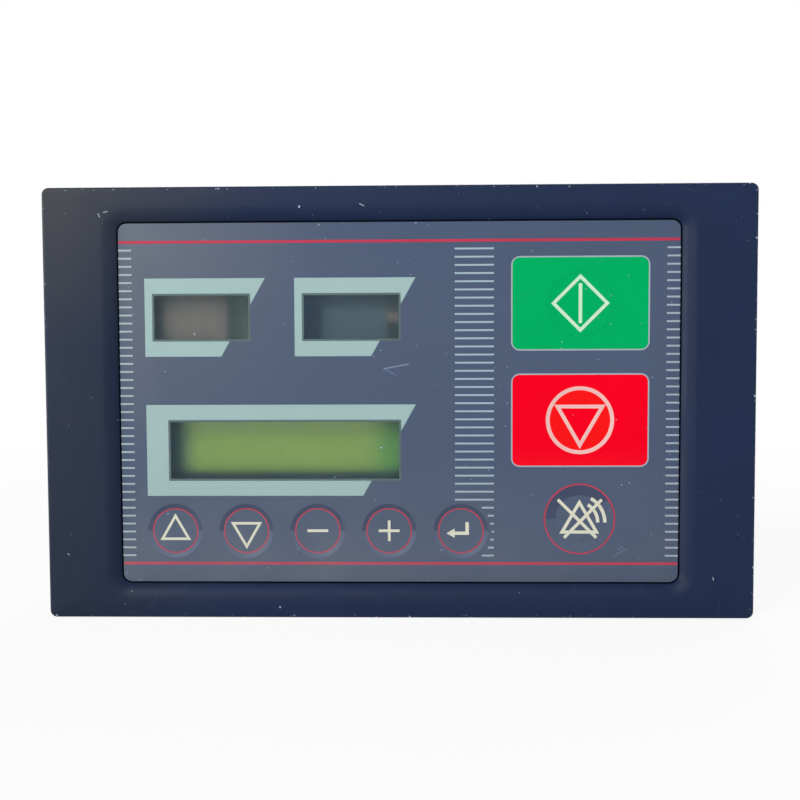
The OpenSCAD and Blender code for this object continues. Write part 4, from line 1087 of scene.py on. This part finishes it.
film = slab("film_sheet", 0, 0, FILM_W, FILM_H, FILM_R, FILM_Z - FILM_THICK, FILM_Z)
cutters = [hole_for(key, FILM_REACH) for key in DISHES]
cutters += [slab("opening", *place, SHARP, FILM_Z - FILM_REACH, FILM_Z + FILM_REACH)
    for place in WINDOWS.values()]
cut(film, cutters)
choose(film, "EDGE", die_cut_edge)
bpy.ops.mesh.bevel(offset=DIE_EDGE * MM, segments=2, affect="EDGES")
done()
alone(film)
bpy.ops.object.shade_smooth_by_angle(angle=SMOOTH)
give(film, film_grey, "module", "film", "front_film")
print("film faces:", len(film.data.polygons))

# %% [markdown]
# The clear windows of the film fill its openings. Only their front has the satin texture. The
# faces behind it are bonded to the acrylic pane, so they take the pane's finish, and a tenth of a
# millimetre is left between the two.

# %% Clear windows of the film
AIR = 0.1
SATIN, BONDED = 0, 1
for name, place in WINDOWS.items():
    pane = slab("film_window_" + name, *place, SHARP, FILM_Z - FILM_THICK + AIR, FILM_Z)
    give(pane, film_clear, "module", "film")
    pane.data.materials.append(acrylic)
    for face in pane.data.polygons:
        face.material_index = SATIN if face.normal.y < -0.5 else BONDED
print("windows:", len(WINDOWS))

# %% [markdown]
# The green and red fields are ink on the film, with an outline that the CAD holds. Each is a
# rounded slab a twentieth of a millimetre thick with a hole for its dish.

# %% Colour fields of the start and stop keys
FIELD_R = 2.0
INK_REACH = 1
for node, key in (("start_field", "key_start"), ("stop_field", "key_stop")):
    low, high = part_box(node)
    x, y = middle(node)
    field = slab("ink_" + node, x, y, (high.x - low.x) / MM, (high.z - low.z) / MM, FIELD_R,
        FILM_Z, FILM_Z + INK_THICK)
    radius = DISHES[key][0] + RIM + SLIT
    cut(field, [rod("hole", x, y, radius, FILM_Z - INK_REACH, FILM_Z + INK_REACH)])
    give(field, KEY_FINISH[key], "module", KEY_SLOT[key], node)
    print(field.name, "is", [round(v / MM, 2) for v in field.dimensions], "mm")

# %% [markdown]
# The signs on the keys are strokes of even width. Curves could draw them too, but an inset keeps
# the width of a stroke exactly, also round a corner. A polygon or circle is inset by the width of
# its stroke and its middle deleted, which leaves the outline.

# %% Outlines and filled shapes
FINE_CUTS, ROUND_CUTS = 10, 2


def polygon(name, x, y, radius, inset, sides, turned):
    """Polygon with that circumradius and a loop inside its edge, its first corner turned from
    straight up. It stays in edit mode, with its inner face selected."""
    bpy.ops.mesh.primitive_circle_add(vertices=sides, radius=radius * MM, fill_type="NGON",
        location=front(x, y, 0), rotation=(pi / 2, radians(turned), 0))
    piece = started(name)
    edit_all()
    bpy.ops.mesh.inset(thickness=inset * MM)
    return piece


def outline(x, y, radius, stroke, sides, turned=0.0):
    """Outline of a polygon or circle, divided finely along its sides."""
    piece = polygon("stroke", x, y, radius, stroke, sides, turned)
    bpy.ops.mesh.delete(type="FACE")
    bpy.ops.mesh.select_all(action="SELECT")
    bpy.ops.mesh.subdivide(number_cuts=FINE_CUTS if sides < 9 else ROUND_CUTS)
    done()
    return piece


def patch(x, y, radius, step, sides, turned=0.0):
    """Filled polygon or circle, with a loop of vertices that far inside its edge."""
    piece = polygon("patch", x, y, radius, step, sides, turned)
    done()
    return piece


# %% [markdown]
# Straight strokes are planes stretched to a bar, with their corners bevelled, because ink rounds
# a corner a little. Arcs are rings that two cuts through their middle shorten.

# %% Bars and arcs
def bar(start, end, width):
    """Straight stroke between two points, its ends eased."""
    length = hypot(end[0] - start[0], end[1] - start[1])
    angle = atan2(end[1] - start[1], end[0] - start[0])
    bpy.ops.mesh.primitive_plane_add(size=1, rotation=(pi / 2, -angle, 0),
        location=front((start[0] + end[0]) / 2, (start[1] + end[1]) / 2, 0))
    bpy.context.object.scale = ((length + width) * MM, width * MM, 1)
    piece = started("stroke")
    edit_all()
    bpy.ops.mesh.bevel(offset=0.25 * width * MM, segments=3, affect="VERTICES")
    done()
    return piece


def arc(x, y, radius, width, start, end):
    """Part of a ring between two angles, counted anticlockwise from the right."""
    piece = outline(x, y, radius + width / 2, width, ROUND_SIDES)
    bpy.ops.object.mode_set(mode="EDIT")
    for angle, side in ((start, 1), (end, -1)):
        bpy.ops.mesh.select_all(action="SELECT")
        across = (-sin(radians(angle)) * side, 0, cos(radians(angle)) * side)
        bpy.ops.mesh.bisect(plane_co=front(x, y, 0), plane_no=across, clear_inner=True)
    done()
    return piece


# %% [markdown]
# A sign's strokes are laid on its key: each vertex goes to the height of the dish under it, so a
# stroke that reaches the slope follows it. Each stroke lies a hair above the last, because two
# layers at one height would flicker where they cross.

# %% Laying a sign on its key
STROKE_THICK = 0.03
SIGN_LIFT = 0.03
NEXT_STROKE = 0.006


def dish_level(key, x, y):
    """Height of a key's dish at a point of the front view."""
    radius, fall, depth = DISHES[key]
    away = hypot(x - middle(key)[0], y - middle(key)[1])
    return top_of(key) - depth * min(max((radius - away) / fall, 0), 1)


def sign(key, strokes, material, slot, lift=SIGN_LIFT, part=""):
    """Lays strokes on a key's dish and gives them the thickness of ink."""
    for order, stroke in enumerate(strokes):
        for vertex in stroke.data.vertices:
            level = dish_level(key, vertex.co.x / MM, vertex.co.z / MM)
            vertex.co.y = -(level + lift + NEXT_STROKE * order) * MM
    piece = join("sign_" + key[4:] + part, strokes)
    apply(piece, "SOLIDIFY", thickness=STROKE_THICK * MM, offset=1)
    return give(piece, material, key, slot)


# %% [markdown]
# The round keys carry plain signs in cream: hollow triangles that point up and down, a minus, a
# plus that is open in its middle, and an arrow that bends back to the left.

# %% Signs of the round keys
TRIANGLE = {"stroke": 0.74, "sides": 3}
ARM, OPEN, STROKE = 2.6, 0.6, 0.78
x, y = middle("key_up")
sign("key_up", [outline(x, y - 0.14, radius=5.14, **TRIANGLE)], ink_cream, "pale_ink")
x, y = middle("key_down")
sign("key_down", [outline(x, y - 0.1, radius=5.2, turned=180, **TRIANGLE)], ink_cream, "pale_ink")
x, y = middle("key_minus")
sign("key_minus", [bar((x - ARM, y), (x + ARM, y), STROKE)], ink_cream, "pale_ink")
x, y = middle("key_plus")
plus = [bar((x - ARM, y), (x + ARM, y), STROKE)]
plus += [bar((x, y + side * ARM), (x, y + side * OPEN), STROKE) for side in (1, -1)]
sign("key_plus", plus, ink_cream, "pale_ink")
x, y = middle("key_enter")
stem = bar((x + 1.78, y + 2.0), (x + 1.78, y - 0.2), width=1.0)
shaft = bar((x - 1.6, y - 0.7), (x + 1.85, y - 0.7), width=0.96)
tip = patch(x - 2.55, y - 0.7, radius=1.55, step=0.2, sides=3, turned=-90)
sign("key_enter", [stem, shaft, tip], ink_cream, "pale_ink")

# %% [markdown]
# The start key shows a square on its corner with an upright bar. The stop key shows a triangle in
# a circle. The ring between them is a brighter red than the field within, so two filled shapes lie
# under the outlines. The reset key shows a triangle crossed out, with two arcs of sound beside it.

# %% Signs of the start, stop and reset keys
x, y = middle("key_start")
square = outline(x, y, radius=8.2, stroke=0.95, sides=4)
upright_bar = bar((x, y + 5.1), (x, y - 5.1), width=1.0)
sign("key_start", [square, upright_bar], ink_mint, "pale_ink")

x, y = middle("key_stop")
y_triangle = y + 0.23
segments = patch(x, y, radius=9.3, step=1.0, sides=ROUND_SIDES)
sign("key_stop", [segments], ink_bright, "stop_red_ink", lift=0.0, part="_segments")
field = patch(x, y_triangle, radius=8.0, step=0.5, sides=3, turned=180)
sign("key_stop", [field], ink_red, "stop_red_ink", lift=0.01, part="_field")
circle = outline(x, y, radius=9.6, stroke=1.1, sides=ROUND_SIDES)
triangle = outline(x, y_triangle, radius=8.33, stroke=1.05, sides=3, turned=180)
sign("key_stop", [circle, triangle], ink_rose, "pale_ink")

x, y = middle("key_reset")
triangle = outline(x, y - 0.98, radius=6.53, stroke=0.9, sides=3)
cross = [bar((x - 5.8, y + 5.2), (x + 4.5, y - 5.1), width=0.9),
    bar((x + 6.0, y + 5.2), (x - 4.0, y - 5.1), width=0.9)]
arcs = [arc(x - 0.7, y - 1.05, radius=7.9, width=0.95, start=0, end=60),
    arc(x - 0.7, y - 1.05, radius=5.9, width=0.95, start=0, end=58)]
sign("key_reset", [triangle, *cross, *arcs], ink_cream, "pale_ink")

# %% [markdown]
# Thin crimson rings mark the floors of the round keys, and a larger one lies round the reset
# key. They are outlines too, laid a hair above the film.

# %% Rings
RING_LIFT = 0.02


def ring(name, key, radius, width, level, body):
    """A thin crimson ring round the middle of a key."""
    piece = outline(*middle(key), radius, width, ROUND_SIDES)
    piece.name = name
    for vertex in piece.data.vertices:
        vertex.co.y = -(level + RING_LIFT) * MM
    apply(piece, "SOLIDIFY", thickness=STROKE_THICK * MM, offset=1)
    return give(piece, ink_crimson, body, "red_ink")


for key in ROUND_KEYS:
    ring("ring_" + key[4:], key, radius=6.5, width=0.34, level=FILM_Z - ROUND_DEPTH, body=key)
ring("ring_reset", "key_reset", radius=10.1, width=0.42, level=FILM_Z, body="module")

# %% [markdown]
# Two crimson lines cross the film, and stop just short of its edges. Round each window runs a
# narrow line of grey green, a little thicker than the pale field that it lies on.

# %% Lines and window borders
LINE_Y = 45.7
LINE_W = 0.8
LINE_SHORT = 0.3
BORDER_W = 0.6
BORDER_THICK = 0.06
lines = [slab("line", 0, side * LINE_Y, FILM_W - LINE_SHORT, LINE_W, SHARP, FILM_Z,
    FILM_Z + INK_THICK) for side in (-1, 1)]
give(join("ink_lines", lines), ink_crimson, "module", "red_ink", "print_lines")
for name, (x, y, w, h) in WINDOWS.items():
    border = slab("ink_border_" + name, x, y, w + 2 * BORDER_W, h + 2 * BORDER_W, SHARP,
        FILM_Z, FILM_Z + BORDER_THICK)
    cut(border, [slab("opening", x, y, w, h, SHARP, FILM_Z - INK_REACH, FILM_Z + INK_REACH)])
    give(border, ink_border, "module", "pale_ink")
print("borders:", len(WINDOWS))

# %% [markdown]
# The forms of the frame and of the folded cover are exact in the CAD, but the frame's lip and the
# cover's bends are made of flat strips. Modelling them again would only lose accuracy. Instead a
# copy of each mesh is merged and shaded smooth, so that a lip or bend catches the light as one
# curve.

# %% The moulded frame and the folded cover
BEND_ANGLE = 24


def smooth_copy(node, name):
    """A merged copy of a CAD node, shaded smooth where its faces meet under the bend's angle."""
    piece = nodes[node].copy()
    piece.data = nodes[node].data.copy()
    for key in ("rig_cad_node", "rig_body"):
        if key in piece:
            del piece[key]
    piece.name = name
    piece.parent = None
    bpy.context.scene.collection.objects.link(piece)
    alone(piece)
    edit_all()
    bpy.ops.mesh.remove_doubles(threshold=1e-6)
    bpy.ops.mesh.customdata_custom_splitnormals_clear()
    done()
    bpy.ops.object.shade_smooth_by_angle(angle=radians(BEND_ANGLE))
    return piece


moulding = smooth_copy("bezel_frame", "frame_moulding")
give(moulding, abs_navy, "module", "frame_plastic", "bezel_frame")
housing = smooth_copy("rear_cover", "folded_cover")
give(housing, cover_metal, "module", "cover_steel", "rear_cover")
print("faces of frame and cover:", len(moulding.data.polygons), len(housing.data.polygons))

# %% [markdown]
# Four M4 studs of zinc-plated steel, their heads moulded into the flange, hold the module on its
# panel. Their threads would be rolled. A bump pattern would only pass for a thread from afar, so
# one profile is drawn and swept along a helix by the Screw modifier. A plain shank is left by the
# flange, and a lead at the tip.

# %% Rolled thread of a fixing stud
PITCH = 0.7
SHANK = 2.0
STUD_END = 16.0
CORE_R = 1.6
RIDGE_MIDDLE, RIDGE_DEEP, RIDGE_WIDE = 1.75, 0.5, 0.62
CREST_SHARE = 0.2
LEAD = 1.0
RUN_IN = 0.4
TURN_STEPS = 24

bpy.ops.mesh.primitive_plane_add(size=1, location=(RIDGE_MIDDLE * MM, 0, 0), rotation=(pi / 2, 0, 0))
bpy.context.object.scale = (RIDGE_DEEP * MM, RIDGE_WIDE * MM, 1)
thread = started("stud_thread")
choose(thread, "VERT", lambda p: p.x > RIDGE_MIDDLE * MM)
bpy.ops.transform.resize(value=(1, 1, CREST_SHARE))
bpy.ops.mesh.select_all(action="SELECT")
bpy.ops.mesh.delete(type="ONLY_FACE")
done()
turns = int((STUD_END - SHANK - LEAD) / PITCH)
apply(thread, "SCREW", axis="Z", angle=2 * pi, screw_offset=PITCH * MM, iterations=turns,
    steps=TURN_STEPS, render_steps=TURN_STEPS)
alone(thread)
thread.rotation_euler = (-pi / 2, 0, 0)
thread.location = (0, (SHANK + RUN_IN) * MM, 0)
place_in_mesh()
edit_all()
bpy.ops.mesh.fill_holes(sides=4)
bpy.ops.mesh.normals_make_consistent(inside=False)
done()
print("turns of thread:", turns)

# %% [markdown]
# The head, the plain shank and the core are turned pins that overlap a little, so no gap shows.
# The core's tip is bevelled for the nut to find it. The stud is made once and copied to the four
# places of the CAD studs.

# %% Four fixing studs
HEAD_R, HEAD_THICK = 2.7, 3.6
SHANK_R, SHANK_IN = 2.0, 0.2
STUD_SIDES = 48
TIP = 0.5
STUD_X, STUD_Y = 93.5, 45.0

head = rod("stud_head", 0, 0, HEAD_R, 0, HEAD_THICK, STUD_SIDES)
shank = rod("stud_shank", 0, 0, SHANK_R, -SHANK, SHANK_IN, STUD_SIDES)
core = rod("stud_core", 0, 0, CORE_R, -STUD_END, -SHANK, STUD_SIDES)
choose(core, "FACE", lambda p: p.y > (STUD_END - NEAR) * MM)
bpy.ops.mesh.bevel(offset=TIP * MM, segments=2, affect="EDGES")
done()
first = join("first_stud", [head, shank, core, thread])
studs = []
for side in (-1, 1):
    for end in (-1, 1):
        stud = first.copy()
        stud.data = first.data.copy()
        bpy.context.scene.collection.objects.link(stud)
        stud.location = front(side * STUD_X, end * STUD_Y, 0)
        studs.append(stud)
bpy.data.objects.remove(first, do_unlink=True)
fixing_studs = join("fixing_studs", studs)
place_in_mesh()
give(fixing_studs, zinc, "module", "zinc_steel", "panel_studs")
print("studs:", len(studs), "faces:", len(fixing_studs.data.polygons))
